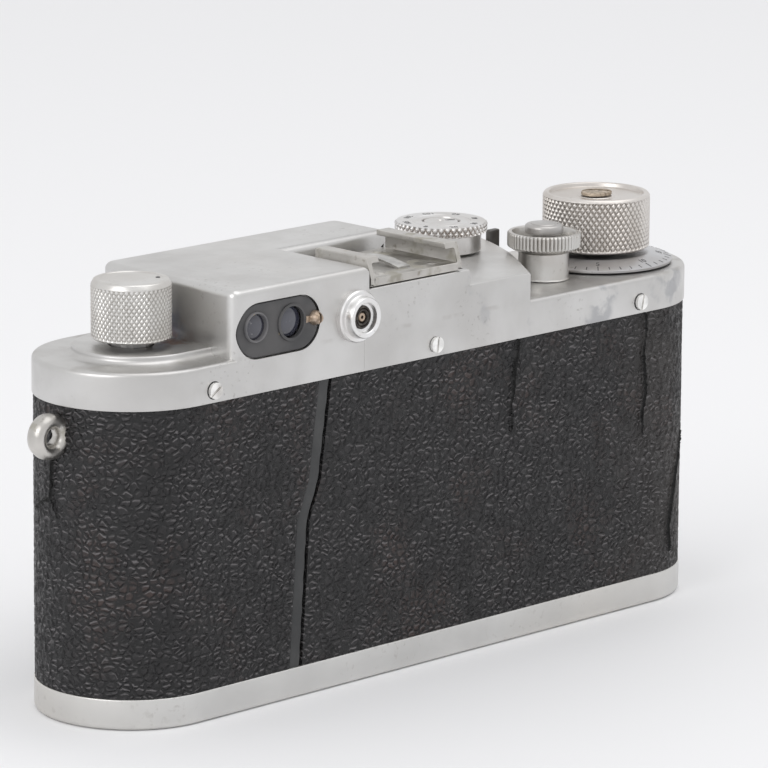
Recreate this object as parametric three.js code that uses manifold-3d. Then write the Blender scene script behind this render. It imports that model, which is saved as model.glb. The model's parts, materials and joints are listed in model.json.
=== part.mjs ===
// A bottom-loading 35 mm rangefinder camera with a screw-mounted lens. Millimetres, +Z up.
// The origin is the middle of the underside. The lens looks along -Y and the rewind end is +X.

import * as THREE from 'three';
import { mergeVertices } from 'three/addons/utils/BufferGeometryUtils.js';
import Module from 'manifold-3d';

const wasm = await Module();
wasm.setup();

// ---- Driving dimensions ----

// Outline of the body: straight sides with half-round ends.
const bodyWidth = 136;
const bodyDepth = 31;
const endRadius = bodyDepth / 2;
const endX = bodyWidth / 2 - endRadius;
const backY = bodyDepth / 2;
const frontY = -bodyDepth / 2;

// Heights above the underside.
const plateTop = 4.85;
const plateFloor = 2.6;
const shellBottom = 5.15;
const shellTop = 50.4;
const capBottom = 50.7;
const deckTop = 56.7;
const pedestalTop = 58.0;
const dialDeckTop = 61.4;
const shoeSeatTop = 63.9;
const housingTop = 67.5;

// Walls and clearances.
const gap = 0.3;
const wall = 1.2;
const coverInset = 0.4;
const coverThickness = 0.7;
const shellRadius = endRadius - coverInset - coverThickness - 0.2;
const tiny = 1;

// The rewind axis is the centre of its half-round end. The wind axis is a little beyond the other.
const rewindX = endX;
const windX = -endX - 0.6;

// The lens axis and its mount.
const lensX = 3;
const lensZ = 28;
const mountFace = -17.8;

// Axes of the controls on the top.
const speedX = -23.0;
const speedY = -7.1;
const releaseX = -35.9;
const releaseY = 4.2;
const clutchX = -38.6;
const clutchY = -13.9;

// Finishes: colour, roughness and metalness.
const finishes = {
  satinChrome: { color: 0xcdcac6, roughness: 0.38, metalness: 0.9 },
  nickel: { color: 0xb9b3a8, roughness: 0.42, metalness: 0.9 },
  steel: { color: 0x9d9a95, roughness: 0.35, metalness: 1.0 },
  brass: { color: 0xa58a5c, roughness: 0.4, metalness: 1.0 },
  leather: { color: 0x2b2a2b, roughness: 0.62, metalness: 0.0 },
  blackPaint: { color: 0x1d1c1c, roughness: 0.5, metalness: 0.0 },
  glass: { color: 0x8fa0b8, roughness: 0.08, metalness: 0.0 },
  insulator: { color: 0x6a6258, roughness: 0.6, metalness: 0.0 },
  cloth: { color: 0x191919, roughness: 0.9, metalness: 0.0 },
};

const camera = new THREE.Group();

function add(name, geometry, finish) {
  const mesh = new THREE.Mesh(geometry, new THREE.MeshStandardMaterial(finishes[finish]));
  mesh.name = name;
  camera.add(mesh);
}

// ---- Shapes ----

function prism(shape, bottom, top, curveSegments = 6) {
  const options = { depth: top - bottom, bevelEnabled: false, curveSegments };
  return new THREE.ExtrudeGeometry(shape, options).translate(0, 0, bottom);
}

function disc(radius, bottom, top, segments = 24) {
  const solid = new THREE.CylinderGeometry(radius, radius, top - bottom, segments);
  return solid.rotateX(Math.PI / 2).translate(0, 0, (bottom + top) / 2);
}

function box(x0, x1, y0, y1, z0, z1) {
  const solid = new THREE.BoxGeometry(x1 - x0, y1 - y0, z1 - z0);
  return solid.translate((x0 + x1) / 2, (y0 + y1) / 2, (z0 + z1) / 2);
}

// A profile of [radius, height] points, turned about Z. Outer walls run upward, bores downward.
function turned(profile, segments = 24) {
  const points = profile.map(([radius, height]) => new THREE.Vector2(radius, height));
  return new THREE.LatheGeometry(points, segments).rotateX(Math.PI / 2);
}

function ring(inner, outer, bottom, top, segments = 24) {
  const profile = [[inner, bottom], [outer, bottom], [outer, top], [inner, top], [inner, bottom]];
  return turned(profile, segments);
}

// Turns a piece made along +Z to stand out of the back (+Y) or of the front (-Y).
const outOfBack = (geometry) => geometry.rotateX(-Math.PI / 2);
const outOfFront = (geometry) => geometry.rotateX(Math.PI / 2);

function racetrack(radius) {
  const shape = new THREE.Shape();
  shape.absarc(endX, 0, radius, -Math.PI / 2, Math.PI / 2);
  shape.absarc(-endX, 0, radius, Math.PI / 2, Math.PI * 1.5);
  return shape;
}

// A slot with round ends along X, centred on the origin.
function stadium(width, height) {
  const radius = height / 2;
  const reach = width / 2 - radius;
  const shape = new THREE.Shape();
  shape.absarc(reach, 0, radius, -Math.PI / 2, Math.PI / 2);
  shape.absarc(-reach, 0, radius, Math.PI / 2, Math.PI * 1.5);
  return shape;
}

// Stands a shape drawn in X and Z upright between two depths.
function standing(shape, y0, y1, curveSegments = 6) {
  return prism(shape, 0, y1 - y0, curveSegments).rotateX(Math.PI / 2).translate(0, y1, 0);
}

// A closed outline through [x, y, corner radius] points.
function outline(corners) {
  const shape = new THREE.Shape();
  const count = corners.length;
  corners.forEach(([x, y, radius = 0], i) => {
    const corner = new THREE.Vector2(x, y);
    const [beforeX, beforeY] = corners[(i + count - 1) % count];
    const [afterX, afterY] = corners[(i + 1) % count];
    const towards = (px, py) => new THREE.Vector2(px, py).sub(corner).setLength(radius).add(corner);
    const start = radius ? towards(beforeX, beforeY) : corner;
    const end = radius ? towards(afterX, afterY) : corner;
    if (i === 0) {
      shape.moveTo(start.x, start.y);
    } else {
      shape.lineTo(start.x, start.y);
    }
    if (radius) {
      shape.quadraticCurveTo(x, y, end.x, end.y);
    }
  });
  shape.closePath();
  return shape;
}

// ---- Joining and cutting ----

function toSolid(geometry) {
  const bare = geometry.clone();
  bare.deleteAttribute('normal');
  bare.deleteAttribute('uv');
  const merged = mergeVertices(bare, 1e-4);
  const corners = merged.index.array;
  const triangles = [];
  for (let i = 0; i < corners.length; i += 3) {
    const [a, b, c] = [corners[i], corners[i + 1], corners[i + 2]];
    if (a !== b && b !== c && c !== a) {
      triangles.push(a, b, c);
    }
  }
  const vertProperties = Float32Array.from(merged.attributes.position.array);
  const triVerts = Uint32Array.from(triangles);
  return new wasm.Manifold(new wasm.Mesh({ numProp: 3, vertProperties, triVerts }));
}

function toGeometry(solid) {
  const mesh = solid.getMesh();
  const geometry = new THREE.BufferGeometry();
  geometry.setAttribute('position', new THREE.BufferAttribute(mesh.vertProperties, 3));
  geometry.setIndex(new THREE.BufferAttribute(mesh.triVerts, 1));
  return geometry;
}

function join(first, ...others) {
  return toGeometry(others.reduce((whole, next) => whole.add(toSolid(next)), toSolid(first)));
}

function cut(first, ...tools) {
  return toGeometry(tools.reduce((rest, tool) => rest.subtract(toSolid(tool)), toSolid(first)));
}

// ---- Base plate, with its tripod bush, hook and key ----

const keyRecessRadius = 10;
const keyRecessDepth = 1.8;
const keySpindleRadius = 2.7;
const bushRadius = 5.5;
const bushFlangeRadius = 7.5;
const bushBore = 3.1;

function addBasePlate() {
  const dish = cut(
    prism(racetrack(endRadius), 0, plateTop, 10),
    prism(racetrack(endRadius - wall), plateFloor, plateTop + tiny, 10),
    disc(keyRecessRadius, -tiny, keyRecessDepth, 32).translate(rewindX, 0, 0),
    disc(keySpindleRadius + gap, 0, plateTop, 20).translate(rewindX, 0, 0),
    disc(bushRadius + gap, -tiny, plateTop, 24).translate(windX, 0, 0),
  );
  add('base_plate', dish, 'satinChrome');

  const flangeBottom = plateFloor + gap;
  const flangeTop = flangeBottom + 1.2;
  const bush = turned([
    [bushBore, 0.3],
    [bushRadius, 0.3],
    [bushRadius, flangeBottom],
    [bushFlangeRadius, flangeBottom],
    [bushFlangeRadius, flangeTop],
    [bushBore, flangeTop],
    [bushBore, 0.3],
  ]);
  add('tripod_bush', bush.translate(windX, 0, 0), 'nickel');
  add('base_hook', box(-66, -62.5, -4, 4, flangeBottom, plateTop - 0.2), 'steel');
}

function addBaseKey() {
  const discBottom = 0.95;
  const discTop = 1.6;
  const discRadius = keyRecessRadius - gap;
  const barBottom = plateFloor + gap;
  const barTop = 4.3;
  const cheek = (side) => box(side * 9.1 - 0.45, side * 9.1 + 0.45, -0.9, 0.9, 0.1, discBottom + 0.1);
  const key = join(
    disc(discRadius, discBottom, discTop, 32),
    disc(keySpindleRadius, discTop - 0.1, barTop, 20),
    box(-8, 8, -2.5, 2.5, barBottom, barTop),
    cheek(1),
    cheek(-1),
  );
  add('base_key', key.translate(rewindX, 0, 0), 'satinChrome');

  const bailOuter = 8.3;
  const bailInner = 7.0;
  const halfRing = new THREE.Shape();
  halfRing.moveTo(bailOuter, gap);
  halfRing.lineTo(bailInner, gap);
  halfRing.absarc(0, 0, bailInner, 0, Math.PI, true);
  halfRing.lineTo(-bailInner, gap);
  halfRing.lineTo(-bailOuter, gap);
  halfRing.absarc(0, 0, bailOuter, Math.PI, Math.PI * 2);
  add('key_bail', prism(halfRing, 0.15, 0.75, 7).translate(rewindX, 0, 0), 'nickel');
}

// ---- Body shell and its covering ----

// The seam runs down the back with a kink in it: [x, z] points of its open side, from the top.
const seamEdge = [[23.8, 50.6], [26.1, 34.6], [28.5, 28.5], [30.1, 5.0]];
const seamWidth = 2.7;

function seamShape(grow) {
  const open = seamEdge.map(([x, z]) => [x - grow, z]);
  const closed = seamEdge.map(([x, z]) => [x + seamWidth + grow, z]).reverse();
  return outline([...closed, ...open]);
}

const flangeRadius = 21.6;
const threadRadius = 19.3;

function frontHole(radius) {
  return outOfFront(disc(radius, 8, 20, 36)).translate(lensX, 0, lensZ);
}

function tubeWall(outer, inner, bottom, top) {
  const shape = racetrack(outer);
  shape.holes.push(racetrack(inner));
  return prism(shape, bottom, top, 10);
}

// The strap lugs: the centre of each eyelet, its radius and half its thickness.
const lugX = 69.6;
const lugZ = 46;
const lugRadius = 3.65;
const lugHalf = 1.7;

// An upright disc at a strap lug's place.
function lugDisc(radius, half, side) {
  return disc(radius, -half, half, 24).rotateX(Math.PI / 2).translate(side * lugX, 0, lugZ);
}

function addBody() {
  const shellTube = tubeWall(shellRadius, shellRadius - wall, shellBottom, shellTop);
  add('body_shell', cut(shellTube, frontHole(threadRadius + 0.6)), 'steel');

  const coverOuter = endRadius - coverInset;
  const coverTube = tubeWall(coverOuter, coverOuter - coverThickness, shellBottom, shellTop);
  const cover = cut(
    coverTube,
    frontHole(flangeRadius + 0.2),
    standing(seamShape(0.15), backY / 2, bodyDepth),
    lugDisc(lugRadius + gap, lugHalf + gap, 1),
    lugDisc(lugRadius + gap, lugHalf + gap, -1),
  );
  add('cover_wrap', cover, 'leather');

  const stripBack = backY - coverInset - 0.1;
  const strip = standing(seamShape(-0.1), stripBack - 0.55, stripBack);
  const trim = box(20, 36, 0, bodyDepth, shellBottom, shellTop);
  add('seam_strip', toGeometry(toSolid(strip).intersect(toSolid(trim))), 'leather');
}

// Each strap lug is an upright eyelet that stands on the end of the shell, through the covering.
function addStrapLugs() {
  const eyeHole = 1.5;
  const footX = endX + shellRadius + gap;
  for (const [name, side] of [['strap_lug_rewind_end', 1], ['strap_lug_wind_end', -1]]) {
    const inner = side > 0 ? box(0, footX, -9, 9, 0, 60) : box(-footX, 0, -9, 9, 0, 60);
    add(name, cut(lugDisc(lugRadius, lugHalf, side), lugDisc(eyeHole, 9, side), inner), 'nickel');
  }
}

// ---- Top cover: deck, rewind pedestal, dial deck and viewfinder housing in one shell ----

const housingBackX = 45.25;
const housingFrontX = 44.3;
const housingFrontY = -16.5;
const shoeNotchX = 16;
const shoeNotchY = -4;
const housingInnerX = -7.5;
const seatX = -6.8;
const housingCorner = 1.9;

const housingShape = () => outline([
  [housingBackX, backY, housingCorner],
  [shoeNotchX, backY],
  [shoeNotchX, shoeNotchY],
  [housingInnerX, shoeNotchY],
  [housingInnerX, housingFrontY, 2],
  [housingFrontX, housingFrontY, 2.5],
]);

// The dial deck ends in a slanting edge that bulges a little towards the front.
const dialDeckEdge = [[-20.9, backY], [-26.6, 7.7], [-30.8, 1.4], [-33.8, -4.5], [-35.8, -9.1]];

const dialDeckShape = () => outline([
  [0, backY],
  ...dialDeckEdge,
  [-37.4, frontY, 5],
  [0, frontY],
]);

// Eyepieces in the back of the housing: [x, z] centres.
const rangeEye = [40.5, 61.3];
const viewEye = [32.8, 61.0];
const eyePlate = { x: 35.65, z: 60.65, width: 17.6, height: 8.7 };
const syncX = 19;
const syncZ = 60;

// Windows in the front of the housing.
const windowZ = 62;
const outerWindowX = 39.3;
const rangeBase = 38;
const innerWindowX = outerWindowX - rangeBase;
const outerWindowRadius = 2.6;
const innerWindowRadius = 3.4;
const viewWindow = { left: 25, right: 35, bottom: 58.5, top: 65.5 };

function throughBack(radius, x, z, fromY) {
  return outOfBack(disc(radius, fromY, 20, 20)).translate(x, 0, z);
}

function throughFront(radius, x, z) {
  return outOfFront(disc(radius, 14, 20, 20)).translate(x, 0, z);
}

const pedestalRadius = 10.3;
const pedestalReach = 5;
const pedestalX = rewindX - pedestalReach - 1.1;
const rewindNeck = 3.3;
const windShaftRadius = 3.0;
const speedShaftRadius = 1.5;
const stemRadius = 1.9;

function addTopCover() {
  const roof = housingTop - wall;
  const start = deckTop - wall - 0.5;
  const pedestalShape = stadium(2 * (pedestalRadius + pedestalReach), 2 * pedestalRadius);
  const pedestal = prism(pedestalShape, deckTop - tiny, pedestalTop, 8);
  const outer = join(
    prism(racetrack(endRadius), capBottom, deckTop, 10),
    pedestal.translate(pedestalX, 0, 0),
    prism(dialDeckShape(), deckTop - tiny, dialDeckTop),
    box(seatX, shoeNotchX + tiny, shoeNotchY - tiny, backY, deckTop - tiny, shoeSeatTop),
    prism(housingShape(), deckTop - tiny, housingTop),
  );
  const dialCave = outline([
    [-4, 13.3], [-19, 13.3], [-29, 0.2], [-33.6, -9.5], [-33.6, -14.2], [-4, -14.2],
  ]);
  const pocket = prism(stadium(eyePlate.width + 0.3, eyePlate.height + 0.3), 14.4, 20, 8);
  const { left, right, bottom, top } = viewWindow;
  const shell = cut(
    outer,
    prism(racetrack(endRadius - wall), capBottom - tiny, deckTop - wall, 10),
    box(17.3, 41.6, -15.2, 13.3, start, roof),
    box(-6.2, 17.4, -15.2, -5.3, start, roof),
    box(-5.4, 17.4, -5.4, 13.3, start, shoeSeatTop - wall),
    prism(dialCave, start, dialDeckTop - wall),
    disc(rewindNeck + gap, start, pedestalTop + tiny, 20).translate(rewindX, 0, 0),
    disc(windShaftRadius + gap, start, deckTop + tiny, 20).translate(windX, 0, 0),
    disc(speedShaftRadius + gap, start, dialDeckTop + tiny, 16).translate(speedX, speedY, 0),
    disc(stemRadius + gap, start, deckTop + tiny, 16).translate(releaseX, releaseY, 0),
    outOfBack(pocket).translate(eyePlate.x, 0, eyePlate.z),
    throughBack(2.7, rangeEye[0], rangeEye[1], 12),
    throughBack(2.7, viewEye[0], viewEye[1], 12),
    throughBack(2.6, syncX, syncZ, 12),
    throughFront(outerWindowRadius + gap, outerWindowX, windowZ),
    throughFront(innerWindowRadius + gap, innerWindowX, windowZ),
    box(left, right, -20, -14, bottom, top),
  );
  add('top_cover', shell, 'satinChrome');
}

// ---- Housing fittings: eyepieces, windows, flash socket, accessory shoe ----

function addEyepieces() {
  const plateShape = stadium(eyePlate.width, eyePlate.height);
  const holes = [[rangeEye, 2.7], [viewEye, 3.0]];
  for (const [[x, z], radius] of holes) {
    const hole = new THREE.Path();
    hole.absarc(x - eyePlate.x, eyePlate.z - z, radius, 0, Math.PI * 2);
    plateShape.holes.push(hole);
  }
  const plate = outOfBack(prism(plateShape, 14.65, 15.35, 8));
  add('eyepiece_plate', plate.translate(eyePlate.x, 0, eyePlate.z), 'blackPaint');

  const tube = outOfBack(ring(1.7, 2.4, 13.0, 16.3, 20));
  add('rangefinder_eyepiece', tube.translate(rangeEye[0], 0, rangeEye[1]), 'blackPaint');
  const rangeLens = outOfBack(disc(1.5, 14.9, 15.5, 16));
  add('rangefinder_eye_lens', rangeLens.translate(rangeEye[0], 0, rangeEye[1]), 'glass');
  const viewLens = outOfBack(disc(2.75, 14.5, 15.0, 20));
  add('viewfinder_eye_lens', viewLens.translate(viewEye[0], 0, viewEye[1]), 'glass');

  // The diopter lever turns round the viewfinder eyepiece and ends in a pin.
  const leverReach = 5.2;
  const lever = join(
    ring(3.1, 3.6, 15.6, 16.0, 20),
    box(-leverReach, -3.3, -0.45, 0.45, 15.6, 16.0),
    disc(0.7, 15.6, 17.0, 12).translate(-leverReach, 0, 0),
  );
  add('diopter_lever', outOfBack(lever).translate(viewEye[0], 0, viewEye[1]), 'nickel');
}

function addWindows() {
  const pane = (radius) => outOfFront(disc(radius, 15.5, 16.2, 20));
  add('rangefinder_window_outer', pane(outerWindowRadius).translate(outerWindowX, 0, windowZ), 'glass');
  add('rangefinder_window_inner', pane(innerWindowRadius).translate(innerWindowX, 0, windowZ), 'glass');
  const { left, right, bottom, top } = viewWindow;
  const viewPane = box(left + gap, right - gap, -16.2, -15.5, bottom + gap, top - gap);
  add('viewfinder_window', viewPane, 'glass');

  const outerTube = box(left + 0.5, right - 0.5, -13.5, 11.5, bottom, top);
  const tubeBore = box(left + 1.5, right - 1.5, -bodyDepth, bodyDepth, bottom + 1, top - 1);
  add('viewfinder_tube', cut(outerTube, tubeBore), 'blackPaint');
  add('rangefinder_prism', box(-3, 5.5, -13, -6.5, 58.5, 65.5), 'glass');
}

function addSyncSocket() {
  const barrel = turned([
    [1.9, 12.5],
    [2.3, 12.5],
    [2.3, backY + 0.1],
    [4.2, backY + 0.1],
    [4.2, 16.2],
    [3.3, 16.5],
    [3.3, 18.0],
    [1.9, 18.0],
    [1.9, 12.5],
  ]);
  add('sync_socket', outOfBack(barrel).translate(syncX, 0, syncZ), 'satinChrome');
  const insulator = outOfBack(ring(1.05, 1.65, 12.8, 17.2, 16)).translate(syncX, 0, syncZ);
  add('sync_insulator', insulator, 'insulator');
  add('sync_contact', outOfBack(disc(0.75, 12.2, 17.0, 12)).translate(syncX, 0, syncZ), 'brass');
}

// The shoe is one bent sheet: a floor, two walls and two inward lips, drawn in X and Z.
const shoe = { left: -4.9, right: 15.5, front: -1.5, back: 15.4, floor: 64.1, top: 68.6 };
const shoeSheet = 0.9;
const shoeLip = 2.9;

function addAccessoryShoe() {
  const inner = shoeSheet;
  const { left, right, floor, top } = shoe;
  const section = outline([
    [left, floor],
    [right, floor],
    [right, top],
    [right - shoeLip, top],
    [right - shoeLip, top - inner],
    [right - inner, top - inner],
    [right - inner, floor + inner],
    [left + inner, floor + inner],
    [left + inner, top - inner],
    [left + shoeLip, top - inner],
    [left + shoeLip, top],
    [left, top],
  ]);
  add('accessory_shoe', standing(section, shoe.front, shoe.back), 'nickel');

  const springBottom = floor + inner + 0.15;
  const spring = new THREE.Shape();
  spring.moveTo(0.5, springBottom);
  spring.lineTo(10, springBottom);
  spring.lineTo(10, springBottom + 0.4);
  spring.quadraticCurveTo(5.25, springBottom + 1.6, 0.5, springBottom + 0.4);
  spring.closePath();
  add('shoe_spring', standing(spring, 0.5, 12.5), 'steel');
}

// ---- Rewind knob, its keyed sleeve and its fork shaft ----

function addRewind() {
  const knobBottom = 59.1;
  const knobTop = 68.5;
  const knobRadius = 6.3;
  const knob = turned([
    [0, knobBottom],
    [knobRadius - 0.2, knobBottom],
    [knobRadius, knobBottom + 0.2],
    [knobRadius, knobTop - 0.7],
    [knobRadius - 0.6, knobTop],
    [0, knobTop],
  ], 32);
  add('rewind_knob', knob.translate(rewindX, 0, 0), 'satinChrome');
  const sleeve = ring(2.3, rewindNeck, 54.2, knobBottom - gap, 20);
  add('rewind_sleeve', sleeve.translate(rewindX, 0, 0), 'steel');
  const shaft = join(
    disc(2.0, 38, knobBottom - gap, 16),
    box(-3.4, 3.4, -0.8, 0.8, 35.5, 39),
  );
  add('rewind_shaft', shaft.translate(rewindX, 0, 0), 'steel');
}

// ---- Wind knob, frame counter, take-up spool and sprocket ----

function addWind() {
  const knobRadius = 9.05;
  const knobBottom = 59.15;
  const knobTop = 68.55;
  const recess = 0.7;
  const knob = turned([
    [0, knobBottom],
    [knobRadius - 0.3, knobBottom],
    [knobRadius, knobBottom + 0.3],
    [knobRadius, knobTop - 0.3],
    [knobRadius - 0.4, knobTop],
    [8.0, knobTop],
    [8.0, knobTop - recess],
    [0, knobTop - recess],
  ], 32);
  add('wind_knob', knob.translate(windX, 0, 0), 'satinChrome');
  const screwBottom = knobTop - recess + 0.1;
  const screwTop = knobTop + 0.15;
  const slot = box(-3, 3, -0.35, 0.35, screwTop - 0.4, 70);
  const screw = cut(disc(2.3, screwBottom, screwTop, 20), slot);
  add('wind_knob_screw', screw.translate(windX, 0, 0), 'brass');
  add('wind_shaft', disc(windShaftRadius, 47.0, knobBottom - gap, 20).translate(windX, 0, 0), 'steel');

  const dialRadius = 13.0;
  const dialBottom = deckTop + gap;
  const dialTop = 58.6;
  const dial = turned([
    [windShaftRadius + gap, dialBottom],
    [dialRadius, dialBottom],
    [dialRadius, dialBottom + 0.45],
    [9.4, dialTop],
    [windShaftRadius + gap, dialTop],
    [windShaftRadius + gap, dialBottom],
  ], 36);
  add('counter_dial', dial.translate(windX, 0, 0), 'satinChrome');

  const spool = turned([
    [0, 7.5],
    [10.2, 7.5],
    [10.2, 8.5],
    [5.5, 8.5],
    [5.5, 45.5],
    [10.2, 45.5],
    [10.2, 46.5],
    [0, 46.5],
  ]);
  add('take_up_spool', spool.translate(windX, 0, 0), 'blackPaint');

  const sprocket = turned([
    [0, 9],
    [4.6, 9],
    [4.6, 11.5],
    [3.4, 12.2],
    [3.4, 43.8],
    [4.6, 44.5],
    [4.6, 47],
    [0, 47],
  ], 16);
  add('sprocket', sprocket.translate(releaseX, releaseY, 0), 'steel');
}

// ---- Speed dial: a ring that lifts and turns on the spindle of the shutter drum ----

function addSpeedDial() {
  const skirtBottom = dialDeckTop + gap;
  const dial = turned([
    [4.2, skirtBottom],
    [6.7, skirtBottom],
    [6.7, 65.0],
    [7.7, 65.0],
    [7.7, 66.2],
    [7.4, 66.5],
    [3.2, 66.5],
    [3.2, 65.3],
    [4.2, 65.3],
    [4.2, skirtBottom],
  ], 32);
  add('speed_dial', dial.translate(speedX, speedY, 0), 'satinChrome');
  const sleeve = ring(speedShaftRadius + gap, 3.9, skirtBottom + 0.2, 63.4, 20);
  add('speed_dial_sleeve', sleeve.translate(speedX, speedY, 0), 'brass');
  const spindle = turned([
    [0, 46.3],
    [speedShaftRadius, 46.3],
    [speedShaftRadius, 65.3],
    [2.9, 65.3],
    [2.9, 66.4],
    [0, 66.4],
  ], 20);
  add('speed_spindle', spindle.translate(speedX, speedY, 0), 'satinChrome');
  add('shutter_drum', disc(4.5, 10, 46, 24).translate(speedX, speedY, 0), 'steel');
}

// ---- Release button in its tube, with the knurled collar round it ----

function addRelease() {
  const tubeRadius = 4.2;
  const tubeTop = 61.4;
  const collarBottom = tubeTop + gap;
  const collarTop = 64.6;
  const collarFloor = 62.7;
  const tube = ring(stemRadius + gap, tubeRadius, deckTop + 0.1, tubeTop, 24);
  add('release_tube', tube.translate(releaseX, releaseY, 0), 'satinChrome');
  const collar = turned([
    [stemRadius + gap, collarBottom],
    [5.5, collarBottom],
    [6.1, collarBottom + 0.4],
    [6.1, collarTop],
    [5.0, collarTop],
    [5.0, collarFloor],
    [stemRadius + gap, collarFloor],
    [stemRadius + gap, collarBottom],
  ], 28);
  add('release_collar', collar.translate(releaseX, releaseY, 0), 'satinChrome');
  const button = turned([
    [0, 51.5],
    [stemRadius, 51.5],
    [stemRadius, 64.3],
    [3.2, 64.3],
    [3.2, 65.5],
    [2.6, 65.9],
    [0, 66.1],
  ], 24);
  add('release_button', button.translate(releaseX, releaseY, 0), 'satinChrome');
}

// ---- Clutch lever between the dial deck and the frame counter ----

function addClutchLever() {
  const bottom = deckTop + gap;
  const top = bottom + 0.8;
  const lever = join(
    disc(1.5, bottom, top, 16),
    box(-1.1, 1.1, 0, 4.3, bottom, top),
    box(-1.2, 1.2, 3.1, 4.3, bottom, 62.5),
  );
  add('clutch_lever', lever.translate(clutchX, clutchY, 0), 'steel');
  add('clutch_pivot_screw', disc(1.2, top + 0.2, top + 0.8, 16).translate(clutchX, clutchY, 0), 'steel');
}

// ---- Slotted screws through the back of the top cover ----

function addBackScrews() {
  const screwZ = 52.7;
  const head = () => cut(
    turned([[0, 15.6], [1.3, 15.6], [1.3, 15.8], [0.8, 16.05], [0, 16.1]], 16),
    box(-2, 2, -0.2, 0.2, 15.85, 17),
  );
  const places = { rewind_end: 49.4, middle: 1.0, wind_end: -47.5 };
  for (const [place, x] of Object.entries(places)) {
    add(`back_screw_${place}`, outOfBack(head()).translate(x, 0, screwZ), 'nickel');
  }
}

// ---- Lens mount and lens. Profiles run forward from the body ----

function addLens() {
  const atLens = (geometry) => outOfFront(geometry).translate(lensX, 0, lensZ);
  const mountDepth = -mountFace;

  const flange = ring(threadRadius + gap, flangeRadius, 14.35, mountDepth, 36);
  add('lens_flange', atLens(flange), 'satinChrome');
  const base = turned([
    [16.8, 12.5],
    [threadRadius, 12.5],
    [threadRadius, mountDepth + gap],
    [20.4, mountDepth + gap],
    [20.4, 20.5],
    [16.8, 20.5],
    [16.8, 12.5],
  ], 36);
  add('lens_base', atLens(base), 'satinChrome');
  const focus = turned([
    [15.2, 20.8],
    [19.0, 20.8],
    [19.6, 21.4],
    [19.6, 24.7],
    [19.0, 25.3],
    [15.2, 25.3],
    [15.2, 20.8],
  ], 36);
  add('focus_ring', atLens(focus), 'satinChrome');

  // The tab starts at the lower left, as seen from in front of the lens.
  const tabAngle = THREE.MathUtils.degToRad(215);
  const tab = join(
    box(19.9, 25.0, -1.6, 1.6, 21.6, 22.9),
    disc(2.3, 21.6, 25.2, 16).translate(24.2, 0, 0),
  );
  add('focus_tab', atLens(tab.rotateZ(tabAngle)), 'satinChrome');

  const barrel = turned([
    [9.0, 13.0],
    [13.0, 13.0],
    [14.7, 14.0],
    [14.7, 34.0],
    [14.2, 34.5],
    [12.5, 34.5],
    [9.0, 31.5],
    [9.0, 13.0],
  ], 32);
  add('lens_barrel', atLens(barrel), 'satinChrome');
  add('aperture_ring', atLens(ring(15.0, 16.6, 29.0, 32.5, 32)), 'satinChrome');
  const front = turned([[0, 27.5], [8.7, 27.5], [8.7, 30.0], [5.0, 31.0], [0, 31.3]], 24);
  add('front_element', atLens(front), 'glass');
  add('rear_element', atLens(disc(8.7, 13.3, 16.5, 24)), 'glass');
}

// ---- Shutter and film guides inside the body ----

function addInside() {
  const gateHalfWidth = 18;
  const gateHalfHeight = 12;
  const frame = 2;
  const crateLeft = lensX - gateHalfWidth - frame;
  const crateRight = lensX + gateHalfWidth + frame;
  const crate = box(crateLeft, crateRight, -8, 8, 8, 48);
  const gateBottom = lensZ - gateHalfHeight;
  const gateTop = lensZ + gateHalfHeight;
  const gateLeft = lensX - gateHalfWidth;
  const gateRight = lensX + gateHalfWidth;
  const gate = box(gateLeft, gateRight, -bodyDepth, bodyDepth, gateBottom, gateTop);
  add('shutter_crate', cut(crate, gate), 'blackPaint');
  add('first_curtain', box(-15, 25, 8.8, 9.1, 13, 43), 'cloth');
  add('second_curtain', box(-20, -15.5, 8.8, 9.1, 13, 43), 'cloth');
  add('curtain_rollers', disc(3.4, 10, 46, 20).translate(28, 4.9, 0), 'steel');
  add('pressure_plate', box(-27, 33, 11.0, 11.8, 12, 44), 'blackPaint');
}

addBasePlate();
addBaseKey();
addBody();
addStrapLugs();
addTopCover();
addEyepieces();
addWindows();
addSyncSocket();
addAccessoryShoe();
addRewind();
addWind();
addSpeedDial();
addRelease();
addClutchLever();
addBackScrews();
addLens();
addInside();

export default camera;
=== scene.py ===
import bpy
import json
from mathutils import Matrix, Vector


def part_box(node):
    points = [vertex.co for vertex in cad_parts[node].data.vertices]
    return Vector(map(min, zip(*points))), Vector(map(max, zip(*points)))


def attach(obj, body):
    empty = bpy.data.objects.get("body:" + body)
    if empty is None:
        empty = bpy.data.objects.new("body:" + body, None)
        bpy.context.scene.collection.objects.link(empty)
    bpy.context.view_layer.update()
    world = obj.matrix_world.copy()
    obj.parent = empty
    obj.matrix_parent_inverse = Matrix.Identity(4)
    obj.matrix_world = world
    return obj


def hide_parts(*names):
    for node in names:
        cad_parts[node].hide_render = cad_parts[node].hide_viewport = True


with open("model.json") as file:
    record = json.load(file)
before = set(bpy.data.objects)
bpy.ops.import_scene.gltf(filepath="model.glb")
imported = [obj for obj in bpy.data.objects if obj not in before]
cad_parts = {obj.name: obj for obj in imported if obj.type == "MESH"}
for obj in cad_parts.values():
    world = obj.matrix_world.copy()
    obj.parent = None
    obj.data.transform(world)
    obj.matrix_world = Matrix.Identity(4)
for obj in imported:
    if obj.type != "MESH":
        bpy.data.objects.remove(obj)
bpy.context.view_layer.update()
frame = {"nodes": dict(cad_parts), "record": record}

import json
import math

import bmesh
import bpy
from mathutils import Euler, Matrix, Quaternion, Vector

mm = 0.001


# ---- View, floor and light ----
# A long lens looks down a little at the back of the camera, from its rewind end.
# The floor is a seamless pale sheet; the light is a bright room with two large soft panels.

view_azimuth = math.radians(135.103)
view_elevation = math.radians(12.831)
view_roll = 0.0073
view_distance = 0.849576
view_target = Vector((-0.00288, 0, 0.04300))
film_width = 36
focal_length = 244.25


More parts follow.
